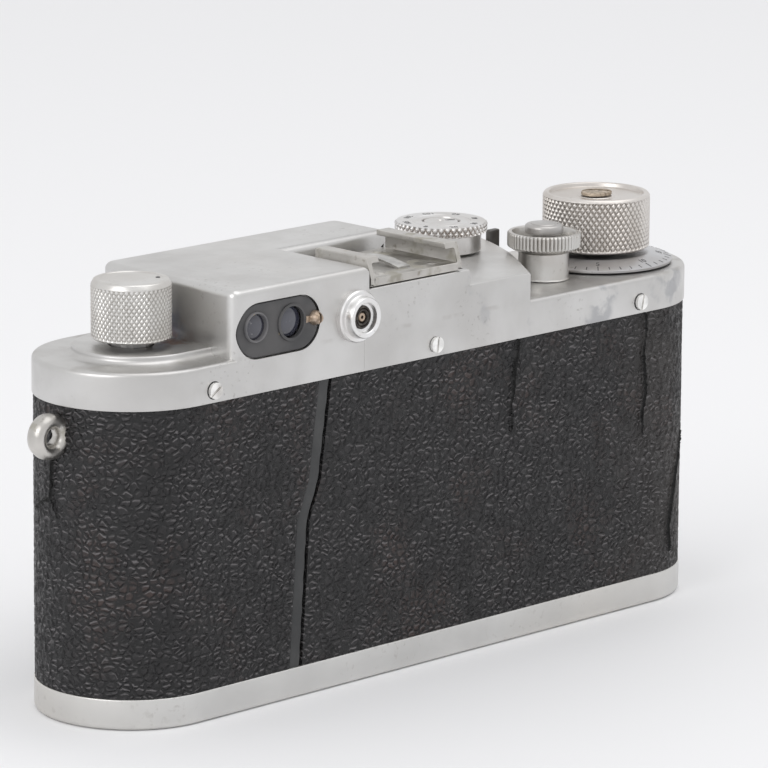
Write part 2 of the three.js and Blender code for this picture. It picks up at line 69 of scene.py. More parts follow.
def direction(azimuth, elevation):
    """The unit vector towards an azimuth, which is 0 at -Y and a quarter turn at +X, and an elevation."""
    flat = math.cos(elevation)
    return Vector((math.sin(azimuth) * flat, -math.cos(azimuth) * flat, math.sin(elevation)))


towards_viewer = direction(view_azimuth, view_elevation)
viewer = bpy.data.objects.new("viewer", bpy.data.cameras.new("viewer"))
viewer.data.sensor_width = film_width
viewer.data.lens = focal_length
viewer.data.clip_end = 20
viewer.location = view_target + towards_viewer * view_distance
turn = (-towards_viewer).to_track_quat("-Z", "Y") @ Quaternion((0, 0, 1), view_roll)
viewer.rotation_euler = turn.to_euler()
bpy.context.collection.objects.link(viewer)
bpy.context.scene.camera = viewer
bpy.context.scene.view_settings.view_transform = "Standard"

for name, azimuth, elevation, distance, size, power in (
    ("left_panel", 98, 30, 0.9, 0.5, 1.6),
    ("overhead_panel", 215, 72, 1.1, 1.0, 3.0),
):
    panel = bpy.data.objects.new(name, bpy.data.lights.new(name, "AREA"))
    panel.data.shape = "SQUARE"
    panel.data.size = size
    panel.data.energy = power
    away = direction(math.radians(azimuth), math.radians(elevation))
    panel.location = away * distance
    panel.rotation_euler = away.to_track_quat("Z", "Y").to_euler()
    bpy.context.collection.objects.link(panel)

room = bpy.data.worlds.new("room")
room.use_nodes = True
room.node_tree.nodes["Background"].inputs["Color"].default_value = (0.85, 0.85, 0.857, 1)
room.node_tree.nodes["Background"].inputs["Strength"].default_value = 1.0
bpy.context.scene.world = room


class Wire:
    """One output of a node. Arithmetic on it adds Math nodes to its tree."""

    def __init__(self, tree, socket):
        self.tree = tree
        self.socket = socket

    def __getitem__(self, output):
        return Wire(self.tree, self.socket.node.outputs[output])

    def maths(self, operation, *values):
        return self.tree.node("ShaderNodeMath", {"operation": operation}, dict(enumerate(values)))

    def __add__(self, other):
        return self.maths("ADD", self, other)

    def __sub__(self, other):
        return self.maths("SUBTRACT", self, other)

    def __rsub__(self, other):
        return self.maths("SUBTRACT", other, self)

    def __mul__(self, other):
        return self.maths("MULTIPLY", self, other)

    def __truediv__(self, other):
        return self.maths("DIVIDE", self, other)

    __radd__ = __add__
    __rmul__ = __mul__

    def least(self, other):
        return self.maths("MINIMUM", self, other)

    def zigzag(self, half_period):
        return self.maths("PINGPONG", self, half_period)

    def above(self, other):
        return self.maths("GREATER_THAN", self, other)

    def fade(self, low, high):
        """0 up to low, 1 from high on, and smooth in between."""
        span = {"Value": self, "From Min": low, "From Max": high}
        return self.tree.node("ShaderNodeMapRange", {"interpolation_type": "SMOOTHSTEP"}, span)


class Tree:
    """A node tree under construction."""

    def __init__(self, tree):
        self.tree = tree

    def node(self, kind, settings=None, values=None):
        made = self.tree.nodes.new(kind)
        for setting, value in (settings or {}).items():
            setattr(made, setting, value)
        for key, value in (values or {}).items():
            if isinstance(value, Wire):
                self.tree.links.new(value.socket, made.inputs[key])
            else:
                made.inputs[key].default_value = value
        shown = [socket for socket in made.outputs if socket.enabled]
        return Wire(self, shown[0]) if shown else made

    def noise(self, scale, detail=3.0, place=None, **more):
        values = {"Vector": place or self.place, "Scale": scale, "Detail": detail, **more}
        return self.node("ShaderNodeTexNoise", None, values)

    def cells(self, scale, feature="F1", place=None, **more):
        values = {"Vector": place or self.place, "Scale": scale, **more}
        return self.node("ShaderNodeTexVoronoi", {"feature": feature}, values)


class Finish(Tree):
    """A material: a Principled surface whose varying inputs are wired and whose fixed ones are set."""

    def __init__(self, name, **fixed):
        self.material = bpy.data.materials.new(name)
        self.material.use_nodes = True
        super().__init__(self.material.node_tree)
        self.surface = self.tree.nodes["Principled BSDF"]
        for key, value in fixed.items():
            self.surface.inputs[self.label(key)].default_value = value
        self.place = self.node("ShaderNodeTexCoord")["Object"]

    def blend(self, factor, first, second):
        """Two colours mixed by a factor."""
        values = {"Factor": factor, 6: first, 7: second}
        return self.node("ShaderNodeMix", {"data_type": "RGBA"}, values)

    def wire(self, **links):
        for key, value in links.items():
            self.tree.links.new(value.socket, self.surface.inputs[self.label(key)])

    @staticmethod
    def label(key):
        return key.replace("_", " ").title().replace("Ior", "IOR")

    def relief(self, height, depth, strength=1.0):
        """Bumps of a height from 0 to 1, as deep as depth in metres."""
        values = {"Height": height, "Distance": depth, "Strength": strength}
        self.wire(normal=self.node("ShaderNodeBump", None, values))


floor_finish = Finish("floor_sheet", roughness=0.7)
floor_tone = floor_finish.noise(1.5, 1.0)
floor_finish.wire(base_color=floor_finish.blend(floor_tone, (0.84, 0.84, 0.85, 1), (0.86, 0.86, 0.87, 1)))
floor_mesh = bpy.data.meshes.new("floor")
floor_half = 8
floor_corners = [(-floor_half, -floor_half, 0), (floor_half, -floor_half, 0)]
floor_corners += [(floor_half, floor_half, 0), (-floor_half, floor_half, 0)]
floor_mesh.from_pydata(floor_corners, [], [(0, 1, 2, 3)])
floor_mesh.materials.append(floor_finish.material)
floor = bpy.data.objects.new("floor", floor_mesh)
bpy.context.collection.objects.link(floor)


# ---- Base plate ----
# A drawn brass dish, satin chromed, that closes the camera from below. It hooks on at the wind end
# and locks with a key at the rewind end. Its rim is rubbed bright where the camera is set down.


def satin_chrome(name, tone, roughness, pitting):
    """Satin chrome: cloudy, slightly warm, with fine pits that hold grime."""
    finish = Finish(name, metallic=1.0)
    clouds = finish.noise(70, 5.0).fade(0.35, 0.7)
    dull = [channel * 0.9 for channel in tone] + [1]
    warm = (tone[0] * 0.97, tone[1] * 0.94, tone[2] * 0.9, 1)
    plate = finish.blend(clouds, (*tone, 1), dull)
    plate = finish.blend(finish.noise(22, 2.0).fade(0.45, 0.75) * 0.6, plate, warm)
    specks = 1 - finish.noise(900, 4.0).fade(0.30, 0.44)
    patches = finish.noise(55, 3.0).fade(0.50, 0.66)
    grime = specks * patches * pitting
    finish.wire(
        base_color=finish.blend(grime, plate, (0.30, 0.27, 0.24, 1)),
        roughness=finish.noise(260, 4.0).fade(0.3, 0.7) * 0.12 + roughness + grime * 0.2,
    )
    finish.relief(finish.noise(3200, 2.0) * 0.5 - grime * 1.5, 0.03 * mm, 0.35)
    return finish.material


cap_chrome = satin_chrome("cap_chrome", (0.69, 0.685, 0.67), 0.30, 0.35)


def low(node):
    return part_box(node)[0]


def high(node):
    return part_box(node)[1]


def middle(node):
    return (low(node) + high(node)) / 2


def softened(corners, steps=4):
    """A line through (a, b) corners. A corner with a third number is rounded by that much."""
    line = []
    count = len(corners)
    for i, corner in enumerate(corners):
        here = Vector(corner[:2])
        if len(corner) < 3:
            line.append(here)
            continue
        before = Vector(corners[(i - 1) % count][:2])
        after = Vector(corners[(i + 1) % count][:2])
        start = here + (before - here).normalized() * corner[2]
        end = here + (after - here).normalized() * corner[2]
        for step in range(steps + 1):
            t = step / steps
            line.append(start * (1 - t) ** 2 + here * 2 * t * (1 - t) + end * t * t)
    return line


def loft(loops, ring=False):
    """A closed skin over loops of as many points each. A loop of one point is a pole."""
    shape = bmesh.new()
    rows = [[shape.verts.new(point) for point in loop] for loop in loops]
    pairs = list(zip(rows, rows[1:] + rows[:1] if ring else rows[1:]))
    for lower, upper in pairs:
        count = max(len(lower), len(upper))
        for i in range(count):
            j = (i + 1) % count
            corners = [lower[i % len(lower)], lower[j % len(lower)], upper[j % len(upper)],
                       upper[i % len(upper)]]
            shape.faces.new(list(dict.fromkeys(corners)))
    if not ring:
        for row in (rows[0], rows[-1]):
            if len(row) > 2:
                shape.faces.new(row)
    bmesh.ops.recalc_face_normals(shape, faces=shape.faces)
    return shape


def turned(profile, steps=64, ring=False):
    """A solid of revolution about Z from (radius, height) points in mm."""
    loops = []
    for radius, height in profile:
        count = steps if radius > 0 else 1
        angles = [2 * math.pi * i / steps for i in range(count)]
        loops.append([Vector((radius * math.cos(a), radius * math.sin(a), height)) * mm for a in angles])
    return loft(loops, ring)


end_x = 52.5
body_radius = 15.5


def track(radius, height, steps=32):
    """A racetrack round the two ends of the body, in mm."""
    points = []
    for side, start in ((1, -math.pi / 2), (-1, math.pi / 2)):
        for i in range(steps + 1):
            a = start + math.pi * i / steps
            x = side * end_x + radius * math.cos(a)
            points.append(Vector((x, radius * math.sin(a), height)) * mm)
    return points


def moved(shape, *matrices):
    """The shape after the matrices, the first one first."""
    for matrix in matrices:
        bmesh.ops.transform(shape, matrix=matrix, verts=shape.verts)
    return shape


def shift(x, y, z):
    """A move in mm."""
    return Matrix.Translation(Vector((x, y, z)) * mm)


def to_object(name, shape):
    mesh = bpy.data.meshes.new(name)
    shape.to_mesh(mesh)
    shape.free()
    made = bpy.data.objects.new(name, mesh)
    bpy.context.collection.objects.link(made)
    return made


def applied(made):
    """The object with its modifiers worked into a plain mesh."""
    graph = bpy.context.evaluated_depsgraph_get()
    mesh = bpy.data.meshes.new_from_object(made.evaluated_get(graph))
    made.modifiers.clear()
    made.data = mesh
    return made


def carved(shape, tools, operation="DIFFERENCE"):
    """The shape joined with, or cut by, each tool."""
    made = to_object("blank", shape)
    helpers = [to_object("tool", tool) for tool in tools]
    for helper in helpers:
        modifier = made.modifiers.new("carve", "BOOLEAN")
        modifier.operation = operation
        modifier.solver = "EXACT"
        modifier.object = helper
    applied(made)
    result = bmesh.new()
    result.from_mesh(made.data)
    for used in [made, *helpers]:
        bpy.data.objects.remove(used)
    bmesh.ops.dissolve_degenerate(result, dist=1e-7, edges=result.edges)
    return result


def eased(shape, width, angle=35, steps=3):
    """The shape with every edge sharper than the angle rounded by the width in mm."""
    least_angle = math.radians(angle)
    sharp = [edge for edge in shape.edges if edge.is_manifold and edge.calc_face_angle(0) > least_angle]
    bmesh.ops.bevel(shape, geom=sharp, offset=width * mm, segments=steps, profile=0.5, affect="EDGES")
    return shape


def piece(name, shape, material, body, slot, *nodes, crease=32):
    """Finishes a shape as a piece that rides on a body and stands for its CAD nodes."""
    made = to_object(name, shape) if isinstance(shape, bmesh.types.BMesh) else shape
    made.name = name
    made.data.name = name
    made.data.materials.clear()
    made.data.materials.append(material)
    made.data.shade_smooth()
    made.data.set_sharp_from_angle(angle=math.radians(crease))
    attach(made, body)
    if nodes:
        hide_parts(*nodes)
    return made


def block(x0, x1, y0, y1, z0, z1):
    """A box between limits in mm."""
    shape = bmesh.new()
    bmesh.ops.create_cube(shape, size=1)
    span = Vector((x1 - x0, y1 - y0, z1 - z0)) * mm
    centre = Vector((x0 + x1, y0 + y1, z0 + z1)) / 2 * mm
    return moved(shape, Matrix.Diagonal((*span, 1)), Matrix.Translation(centre))


plate_top = 5.0
plate_profile = softened([(body_radius - 1.3, plate_top), (body_radius, plate_top, 0.25),
                          (body_radius, 0, 0.9), (4, 0)])
plate = loft([track(radius, height) for radius, height in reversed(plate_profile)])
key_x = middle("base_key").x / mm
bush_x = middle("tripod_bush").x / mm
plate = carved(
    plate, [
        loft([track(body_radius - 1.3, height) for height in (2.6, 9)]),
        moved(turned([(0, -1), (10, -1), (10, 1.8), (0, 1.8)]), shift(key_x, 0, 0)),
        moved(turned([(0, 1), (3, 1), (3, 4), (0, 4)], 32), shift(key_x, 0, 0)),
        moved(turned([(0, -1), (5.8, -1), (5.8, 4), (0, 4)], 48), shift(bush_x, 0, 0)),
    ],
)
piece("base_dish", plate, cap_chrome, "base", "chrome_cap", "base_plate")


# ---- Covering ----
# Hard black vulcanised sheet with a pebbled grain, pressed and glued round the body in one wrap.
# Age has split it in four places, down to the metal, and greyed it at the wind end.

wrap_radius = 15.1
wrap_low = 4.98
wrap_high = 50.6
wrap_back = 14.35
half_turn = math.pi * wrap_radius
grain = 1.35
split_depth = 0.7
seam_width = 2.7
seam_gap = 0.42
seam_line = [(50.6, 23.8), (34.6, 26.1), (28.5, 28.5), (4.9, 30.1)]
end_turn = end_x + half_turn
lens_x = 3
lens_z = 28
lens_opening = 20.6


def on_wrap(s, z, radius=wrap_radius):
    """The place and the way out, s mm round the body from the middle of its back towards the wind end."""
    along = (s + end_x) % (4 * end_x + 2 * half_turn)
    for side in (1, -1):
        if along < 2 * end_x:
            return Vector((side * (end_x - along), side * radius, z)), Vector((0, side, 0))
        along -= 2 * end_x
        if along < half_turn:
            out = Vector((-side * math.sin(along / wrap_radius), side * math.cos(along / wrap_radius), 0))
            return Vector((-side * end_x, 0, z)) + out * radius, out
        along -= half_turn


def end_place(degrees):
    """How far round a direction of the wind end is. 0 faces +X and 90 is square to the back."""
    return end_x + wrap_radius * math.radians(degrees - 90)


def between(line, at):
    """The value at a height on a line of (height, value) points, from the top down."""
    for (high_at, high_value), (low_at, low_value) in zip(line, line[1:]):
        if at >= low_at:
            return low_value + (high_value - low_value) * (at - low_at) / (high_at - low_at)
    return line[-1][1]


# Each split is a line of (place round the body, height, half width) points.
splits = [
    [(18.3, 50.7, 0.22), (18.1, 48.2, 0.26), (17.6, 46.6, 0.62), (17.5, 45.2, 0.26), (17.3, 42.0, 0.20),
     (16.6, 39.6, 0.14), (17.1, 38.2, 0.12), (17.0, 35.6, 0.05)],
    [(48.9, 50.6, 0.16), (49.3, 47.4, 0.10), (48.6, 44.2, 0.12), (48.9, 41.5, 0.26), (49.3, 37.0, 0.20),
     (48.5, 33.5, 0.20), (48.7, 29.8, 0.05)],
    [(end_place(124), 28.0, 0.10), (end_place(113), 22.5, 0.26), (end_place(106), 16.0, 0.32),
     (end_place(103), 12.5, 0.28), (end_place(106), 8.2, 0.10)],
    [(-end_place(184), 46.0, 0.20), (-end_place(185), 40.0, 0.26), (-end_place(186), 35.6, 0.20),
     (-end_place(196), 34.6, 0.16), (-end_place(206), 33.2, 0.08)],
    [(-end_place(186), 35.6, 0.14), (-end_place(180), 32.6, 0.06)],
]


def openness(s, z):
    """1 inside a split, 0 on sound covering."""
    most = 0.0
    for line in splits:
        for (s0, z0, half0), (s1, z1, half1) in zip(line, line[1:]):
            if abs(s - s0) > 8 or z > z0 + 1 or z < z1 - 1:
                continue
            leg = Vector((s1 - s0, z1 - z0))
            t = max(0, min(1, Vector((s - s0, z - z0)).dot(leg) / leg.length_squared))
            ragged = 0.09 * math.sin(5.3 * z) + 0.06 * math.sin(13.1 * z + 1)
            off = (Vector((s - s0 - ragged, z - z0)) - leg * t).length
            most = max(most, 0.5 + (half0 + (half1 - half0) * t - off) / 0.2)
    return max(0.0, min(1.0, most))


def columns(start, stop, coarse=0.37, fine=0.14, reach=1.3):
    """Places round the body from start to stop, closer together at the splits."""
    places = []
    centres = [point[0] for line in splits for point in line]
    at = start
    while at < stop:
        places.append(at)
        at += fine if any(abs(at - centre) < reach for centre in centres) else coarse
    return places + [stop]


class Recipe(Tree):
    """A Geometry Nodes tree with named inputs, worked once into a mesh."""

    def __init__(self, name, **inputs):
        self.group = bpy.data.node_groups.new(name, "GeometryNodeTree")
        super().__init__(self.group)
        sockets = self.group.interface
        sockets.new_socket("Geometry", in_out="INPUT", socket_type="NodeSocketGeometry")
        sockets.new_socket("Geometry", in_out="OUTPUT", socket_type="NodeSocketGeometry")
        for label, value in inputs.items():
            kind = "NodeSocketInt" if isinstance(value, int) else "NodeSocketFloat"
            kind = "NodeSocketObject" if value is None else kind
            kind = "NodeSocketMaterial" if value == "material" else kind
            made = sockets.new_socket(label, in_out="INPUT", socket_type=kind)
            if isinstance(value, (int, float)):
                made.default_value = value
        self.given = self.tree.nodes.new("NodeGroupInput")
        self.result = self.tree.nodes.new("NodeGroupOutput")
        self.place = self.node("GeometryNodeInputPosition")

    def size(self, label):
        return Wire(self, self.given.outputs[label])

    def parts(self, vector):
        """The three numbers of a vector."""
        split = self.node("ShaderNodeSeparateXYZ", None, {0: vector})
        return split["X"], split["Y"], split["Z"]

    def vector(self, x=0.0, y=0.0, z=0.0):
        return self.node("ShaderNodeCombineXYZ", None, {"X": x, "Y": y, "Z": z})

    def scaled(self, vector, factor):
        return self.node("ShaderNodeVectorMath", {"operation": "SCALE"}, {0: vector, "Scale": factor})

    def end(self, geometry):
        self.tree.links.new(geometry.socket, self.result.inputs[0])

    def worked(self, made, **values):
        """The object with the recipe worked into its mesh."""
        modifier = made.modifiers.new("recipe", "NODES")
        modifier.node_group = self.group
        for socket in self.group.interface.items_tree:
            if socket.in_out == "INPUT" and socket.name in values:
                modifier[socket.identifier] = values[socket.name]
        return applied(made)


def pebbles(tree, rise=0.0):
    """The pebble grain: 0 in the valleys, 1 on the tops. It can be read a little way above each point."""
    place = tree.node("ShaderNodeVectorMath", {"operation": "ADD"}, {0: tree.place, 1: (0, 0, rise * mm)})
    wander = tree.noise(380, 2.0, place)["Color"]
    bend = tree.node("ShaderNodeVectorMath", {"operation": "SCALE"}, {0: wander, "Scale": 1.5 * mm})
    place = tree.node("ShaderNodeVectorMath", {"operation": "ADD"}, {0: place, 1: bend})
    squat = tree.node("ShaderNodeVectorMath", {"operation": "MULTIPLY"}, {0: place, 1: (1, 1, 1.25)})
    edge = tree.cells(1 / (grain * mm), "DISTANCE_TO_EDGE", squat)
    return edge.fade(0.0, 0.30) * (tree.noise(1000, 2.0, place).fade(0.25, 0.65) * 0.45 + 0.55)


grained = Recipe("grained_sheet", Depth=0.30 * mm, Split=split_depth * mm)
split_amount = grained.node("GeometryNodeInputNamedAttribute", {"data_type": "FLOAT"}, {"Name": "split"})
swell = grained.noise(60, 2.0).fade(0.2, 0.8) * 0.10 * mm
plain_edge = grained.node("GeometryNodeInputNamedAttribute", {"data_type": "FLOAT"}, {"Name": "plain"})
rise = (pebbles(grained) * grained.size("Depth") + swell - grained.size("Depth")) * (1 - plain_edge)
lift = rise * (1 - split_amount) - split_amount * grained.size("Split")
outward = grained.node("GeometryNodeInputNormal")
grained.end(grained.node("GeometryNodeSetPosition", None, {
    "Geometry": grained.size("Geometry"), "Offset": grained.scaled(outward, lift)}))


def covering_finish():
    """Glossy black sheet, browned and greyed with age, dark in its splits, with painted highlights on the
    upper edges of its pebbles.
    """
    finish = Finish("black_covering", specular_ior_level=0.45)
    tops = pebbles(finish)
    x = finish.node("ShaderNodeSeparateXYZ", None, {0: finish.place})["X"]
    aged = (x * -1).fade(0.036, 0.067) * finish.noise(45, 3.0).fade(0.3, 0.7)
    brown = finish.noise(75, 4.0).fade(0.5, 0.72)
    # Painted highlight: pale streaks, in patches, where a pebble top falls away just above it, along the
    # upper edges of the grain.
    painted_highlight = (tops - pebbles(finish, 0.30)).fade(0.16, 0.85) * finish.noise(240, 3.0).fade(0.33, 0.62)
    colour = finish.blend(tops, (0.004, 0.004, 0.0045, 1), (0.0135, 0.0122, 0.0134, 1))
    colour = finish.blend(brown * tops * 0.8, colour, (0.046, 0.027, 0.022, 1))
    colour = finish.blend(aged * 0.5, colour, (0.085, 0.074, 0.066, 1))
    colour = finish.blend(painted_highlight * 0.85, colour, (0.145, 0.136, 0.140, 1))
    amount = finish.node("ShaderNodeAttribute", {"attribute_name": "split"})["Fac"]
    colour = finish.blend(amount.fade(0.08, 0.35), colour, (0.002, 0.002, 0.002, 1))
    finish.wire(
        base_color=colour, roughness=finish.noise(300, 3.0) * 0.2 + 0.36 - tops * 0.14 + amount * 0.5,
    )
    finish.relief(tops * 0.8 + finish.noise(2600, 3.0) * 0.2, 0.30 * mm, 0.9)
    return finish.material


black_covering = covering_finish()


def sheet_of(places, edge):
    """The covering's outer face, in rows from the bottom up. Its first column follows the edge line."""
    rows = round((wrap_high - wrap_low) / 0.37)
    span = places[-1] - places[0]
    points, amounts, plain = [], [], []
    for row in range(rows + 1):
        z = wrap_low + (wrap_high - wrap_low) * row / rows
        slant = edge(z) - places[0]
        for place in places:
            fading = max(0.0, 1 - abs(place - places[0]) / 12)
            s = place + slant * fading
            point, out = on_wrap(s, z)
            points.append(point * mm)
            amounts.append(openness(s, z))
            plain.append(max(0.0, 1 - abs(place - places[0]) / 0.9))
    count = len(places)
    faces = []
    for row in range(rows):
        for i in range(count - 1):
            corner = row * count + i
            face = (corner, corner + count, corner + count + 1, corner + 1)
            faces.append(face if span > 0 else face[::-1])
    mesh = bpy.data.meshes.new("sheet")
    mesh.from_pydata(points, [], faces)
    mesh.attributes.new("split", "FLOAT", "POINT").data.foreach_set("value", amounts)
    mesh.attributes.new("plain", "FLOAT", "POINT").data.foreach_set("value", plain)
    made = bpy.data.objects.new("sheet", mesh)
    bpy.context.collection.objects.link(made)
    return made


def trimmed(made):
    """The sheet with its lens opening cut and its edges turned in to the body."""
    shape = bmesh.new()
    shape.from_mesh(made.data)
    centre = Vector((lens_x, lens_z)) * mm
    inside = []
    for vert in shape.verts:
        off = Vector((vert.co.x, vert.co.z)) - centre
        if vert.co.y < 0 and off.length < lens_opening * mm:
            if off.length > (lens_opening - 0.4) * mm:
                edge_place = centre + off.normalized() * lens_opening * mm
                vert.co.x, vert.co.z = edge_place
            else:
                inside.append(vert)
    bmesh.ops.delete(shape, geom=inside, context="VERTS")
    border = [edge for edge in shape.edges if edge.is_boundary]
    turned_in = bmesh.ops.extrude_edge_only(shape, edges=border)["geom"]
    for vert in turned_in:
        if isinstance(vert, bmesh.types.BMVert):
            nearest = Vector((max(-end_x, min(end_x, vert.co.x / mm)), 0)) * mm
            off = Vector(vert.co.xy) - nearest
            vert.co.x, vert.co.y = nearest + off.normalized() * wrap_back * mm
    shape.to_mesh(made.data)
    shape.free()
    return made


front_middle = end_turn + end_x + lens_x
for name, start, stop, edge_shift in (
    ("covering_wind_side", -seam_line[0][1] + 0.05, front_middle, 0.05),
    ("covering_rewind_side", -seam_line[0][1] - seam_width, front_middle - 4 * end_x - 2 * half_turn,
     -seam_width),
):
    if stop > start:
        places = columns(start, stop)
    else:
        places = columns(stop, start)[::-1]
    sheet = sheet_of(places, lambda z: edge_shift - between(seam_line, z))
    piece(name, trimmed(grained.worked(sheet)), black_covering, "camera_body", "covering", "cover_wrap",
          crease=50)


# ---- Seam strip ----
# A smooth strip of the same sheet that covers where the two ends of the wrap meet on the back.
# Its wind side stands a little away from the covering, so a dark line runs down beside it.


def seam_finish():
    """Rubbed dark grey-green sheet, its gloss varying in patches."""
    finish = Finish("seam_sheet", specular_ior_level=0.4)
    worn = finish.noise(140, 4.0).fade(0.35, 0.7)
    green = finish.noise(40, 2.0).fade(0.5, 0.8)
    colour = finish.blend(worn, (0.036, 0.037, 0.038, 1), (0.060, 0.061, 0.061, 1))
    finish.wire(
        base_color=finish.blend(green * 0.6, colour, (0.040, 0.046, 0.034, 1)),
        roughness=finish.noise(500, 3.0) * 0.25 + 0.38,
    )
    finish.relief(finish.noise(700, 4.0), 0.08 * mm, 0.5)
    return finish.material


seam_face = wrap_radius - 0.08
seam_loops = []
for step in range(61):
    z = wrap_low + (wrap_high - wrap_low) * step / 60
    wind_edge = between(seam_line, z) + seam_gap + 0.06 * math.sin(1.7 * z)
    rewind_edge = between(seam_line, z) + seam_width - 0.05
    section = softened([(wind_edge, wrap_back), (wind_edge, seam_face, 0.3), (rewind_edge, seam_face, 0.15),
                        (rewind_edge, wrap_back)], 3)
    seam_loops.append([Vector((x, y, z)) * mm for x, y in section])
piece("seam_band", loft(seam_loops), seam_finish(), "camera_body", "covering_seam", "seam_strip")


# ---- Top cover ----
# One pressed and brazed brass shell, satin chromed: the deck, the raised foot of the rewind knob, the dial
# deck, the seat of the accessory shoe and the finder housing. It is screwed to the shell round its edge.

cap_low = 50.7
deck_top = 56.7
back_y = 15.5
flush = 0.01


def prism(outline, z0, z1, steps=6, rims=(0, 0)):
    """A prism over an outline of (x, y) or (x, y, rounding) corners, with its low and high rims rounded."""
    flat = softened(outline, steps)
    shape = loft([[Vector((p.x, p.y, z)) * mm for p in flat] for z in (z0, z1)])
    for width, z in zip(rims, (z0, z1)):
        if width:
            level = [e for e in shape.edges if all(abs(v.co.z - z * mm) < 1e-7 for v in e.verts)]
            bmesh.ops.bevel(shape, geom=level, offset=width * mm, segments=5, profile=0.5, affect="EDGES")
    return shape


def holed(radius, x, z, y0, y1, steps=40):
    """A round tool through the front or the back, between two depths."""
    bore = turned([(0, y0), (radius, y0), (radius, y1), (0, y1)], steps)
    return moved(bore, Matrix.Rotation(math.radians(-90), 4, "X"), shift(x, 0, z))


def rounded_rect(x0, x1, y0, y1, corner):
    return [(x0, y0, corner), (x1, y0, corner), (x1, y1, corner), (x0, y1, corner)]


def stadium(half_long, half_tall, steps=20):
    """The outline of a slot with round ends, about the origin."""
    ends = [(side, math.pi * (i / steps - 0.5)) for side in (1, -1) for i in range(steps + 1)]
    return [(side * (half_long - half_tall + half_tall * math.cos(a)), side * half_tall * math.sin(a))
            for side, a in ends]


rewind_x = middle("rewind_knob").x / mm
wind_x = middle("wind_knob").x / mm
speed_x, speed_y = middle("speed_dial").x / mm, middle("speed_dial").y / mm
release_x, release_y = middle("release_tube").x / mm, middle("release_tube").y / mm
housing_top = high("top_cover").z / mm
dial_deck_top = 61.4
seat_top = 63.9
wall_x = 45.25

band_profile = softened([(14.3, deck_top), (body_radius, deck_top, 0.85), (body_radius, cap_low, 0.12),
                         (13, cap_low)], 6)
band = loft([track(radius, height, 40) for radius, height in reversed(band_profile)])
foot_radius = 10.2
foot_x = rewind_x - 1.1
foot_skirt = 1.3
foot_profile = [(foot_radius + foot_skirt * (1 - math.sin(a)),
                 deck_top - 0.02 + foot_skirt * (1 - math.cos(a)) * 0.62)
                for a in (math.pi / 2 * i / 8 for i in range(9))]
foot_profile = [(foot_radius + foot_skirt, deck_top - 0.5)] + foot_profile
foot_profile += softened([(foot_radius, 57.6), (foot_radius - 0.05, 58.0, 0.35), (foot_radius - 4, 58.0)],
                         5)[1:-1]
foot_loops = []
for radius, height in foot_profile:
    loop = []
    for i in range(65):
        a = -math.pi / 2 + math.pi * i / 64
        loop.append(Vector((foot_x + radius * math.cos(a), radius * math.sin(a), height)) * mm)
    loop += [Vector((38, radius, height)) * mm, Vector((38, -radius, height)) * mm]
    foot_loops.append(loop)
housing_outline = [(wall_x, back_y + flush, 1.9), (16, back_y + flush), (16, -4), (-7.5, -4),
                   (-7.5, -16.5, 2), (44.3, -16.5, 2.5)]
deck_outline = [(10, back_y + 2 * flush), (-20.9, back_y + 2 * flush), (-26.6, 7.7, 2.5), (-30.8, 1.4, 2.5),
                (-33.8, -4.5, 2.5), (-35.8, -9.1, 2.5), (-37.4, -15.45, 4), (10, -15.45)]
seat_outline = [(17, back_y + 3 * flush), (-6.8, back_y + 3 * flush), (-6.8, -5), (17, -5)]

cover = carved(band, [
    loft(foot_loops), prism(deck_outline, cap_low + 0.3, dial_deck_top, 6, (0, 0.45)),
    prism(seat_outline, cap_low + 0.4, seat_top, 6, (0, 0.35)),
    prism(housing_outline, cap_low + 0.5, housing_top, 8, (0, 1.15)),
], "UNION")
inner_start = 55.0
eye_x, eye_z = middle("eyepiece_plate").x / mm, middle("eyepiece_plate").z / mm
eye_width = (high("eyepiece_plate").x - low("eyepiece_plate").x) / mm
eye_height = (high("eyepiece_plate").z - low("eyepiece_plate").z) / mm
pocket = prism(stadium(eye_width / 2 + 0.12, eye_height / 2 + 0.12), 14.4, 22, 1)
upright = Matrix.Rotation(math.radians(90), 4, "X") @ Matrix.Diagonal((1, 1, -1, 1))
pocket = moved(pocket, upright, shift(eye_x, 0, eye_z))
bmesh.ops.recalc_face_normals(pocket, faces=pocket.faces)
sync_x, sync_z = middle("sync_socket").x / mm, middle("sync_socket").z / mm
outer_window_x = middle("rangefinder_window_outer").x / mm
inner_window_x = middle("rangefinder_window_inner").x / mm
window_z = 62
view_window = prism(rounded_rect(24.8, 35.2, 58.3, 65.7, 0.8), 13, 20, 5)
view_window = moved(view_window, Matrix.Rotation(math.radians(90), 4, "X"))
cover = carved(cover, [
    loft([track(body_radius - 1.2, height, 24) for height in (cap_low - 1, 55.5)]),
    prism([(44.0, 13.3), (17.3, 13.3), (17.3, -15.2), (43.0, -15.2)], inner_start, housing_top - 1.2),
    prism([(17.4, -5.3), (-6.2, -5.3), (-6.2, -15.2), (17.4, -15.2)], inner_start, housing_top - 1.2),
    prism([(17.5, 13.3), (-5.4, 13.3), (-5.4, -5.4), (17.5, -5.4)], inner_start, seat_top - 1.2),
    prism([(-4, 13.2), (-19, 13.2), (-29, 0.2), (-33.6, -9.5), (-33.6, -14.2), (-4, -14.2)], inner_start,
          60.2),
])
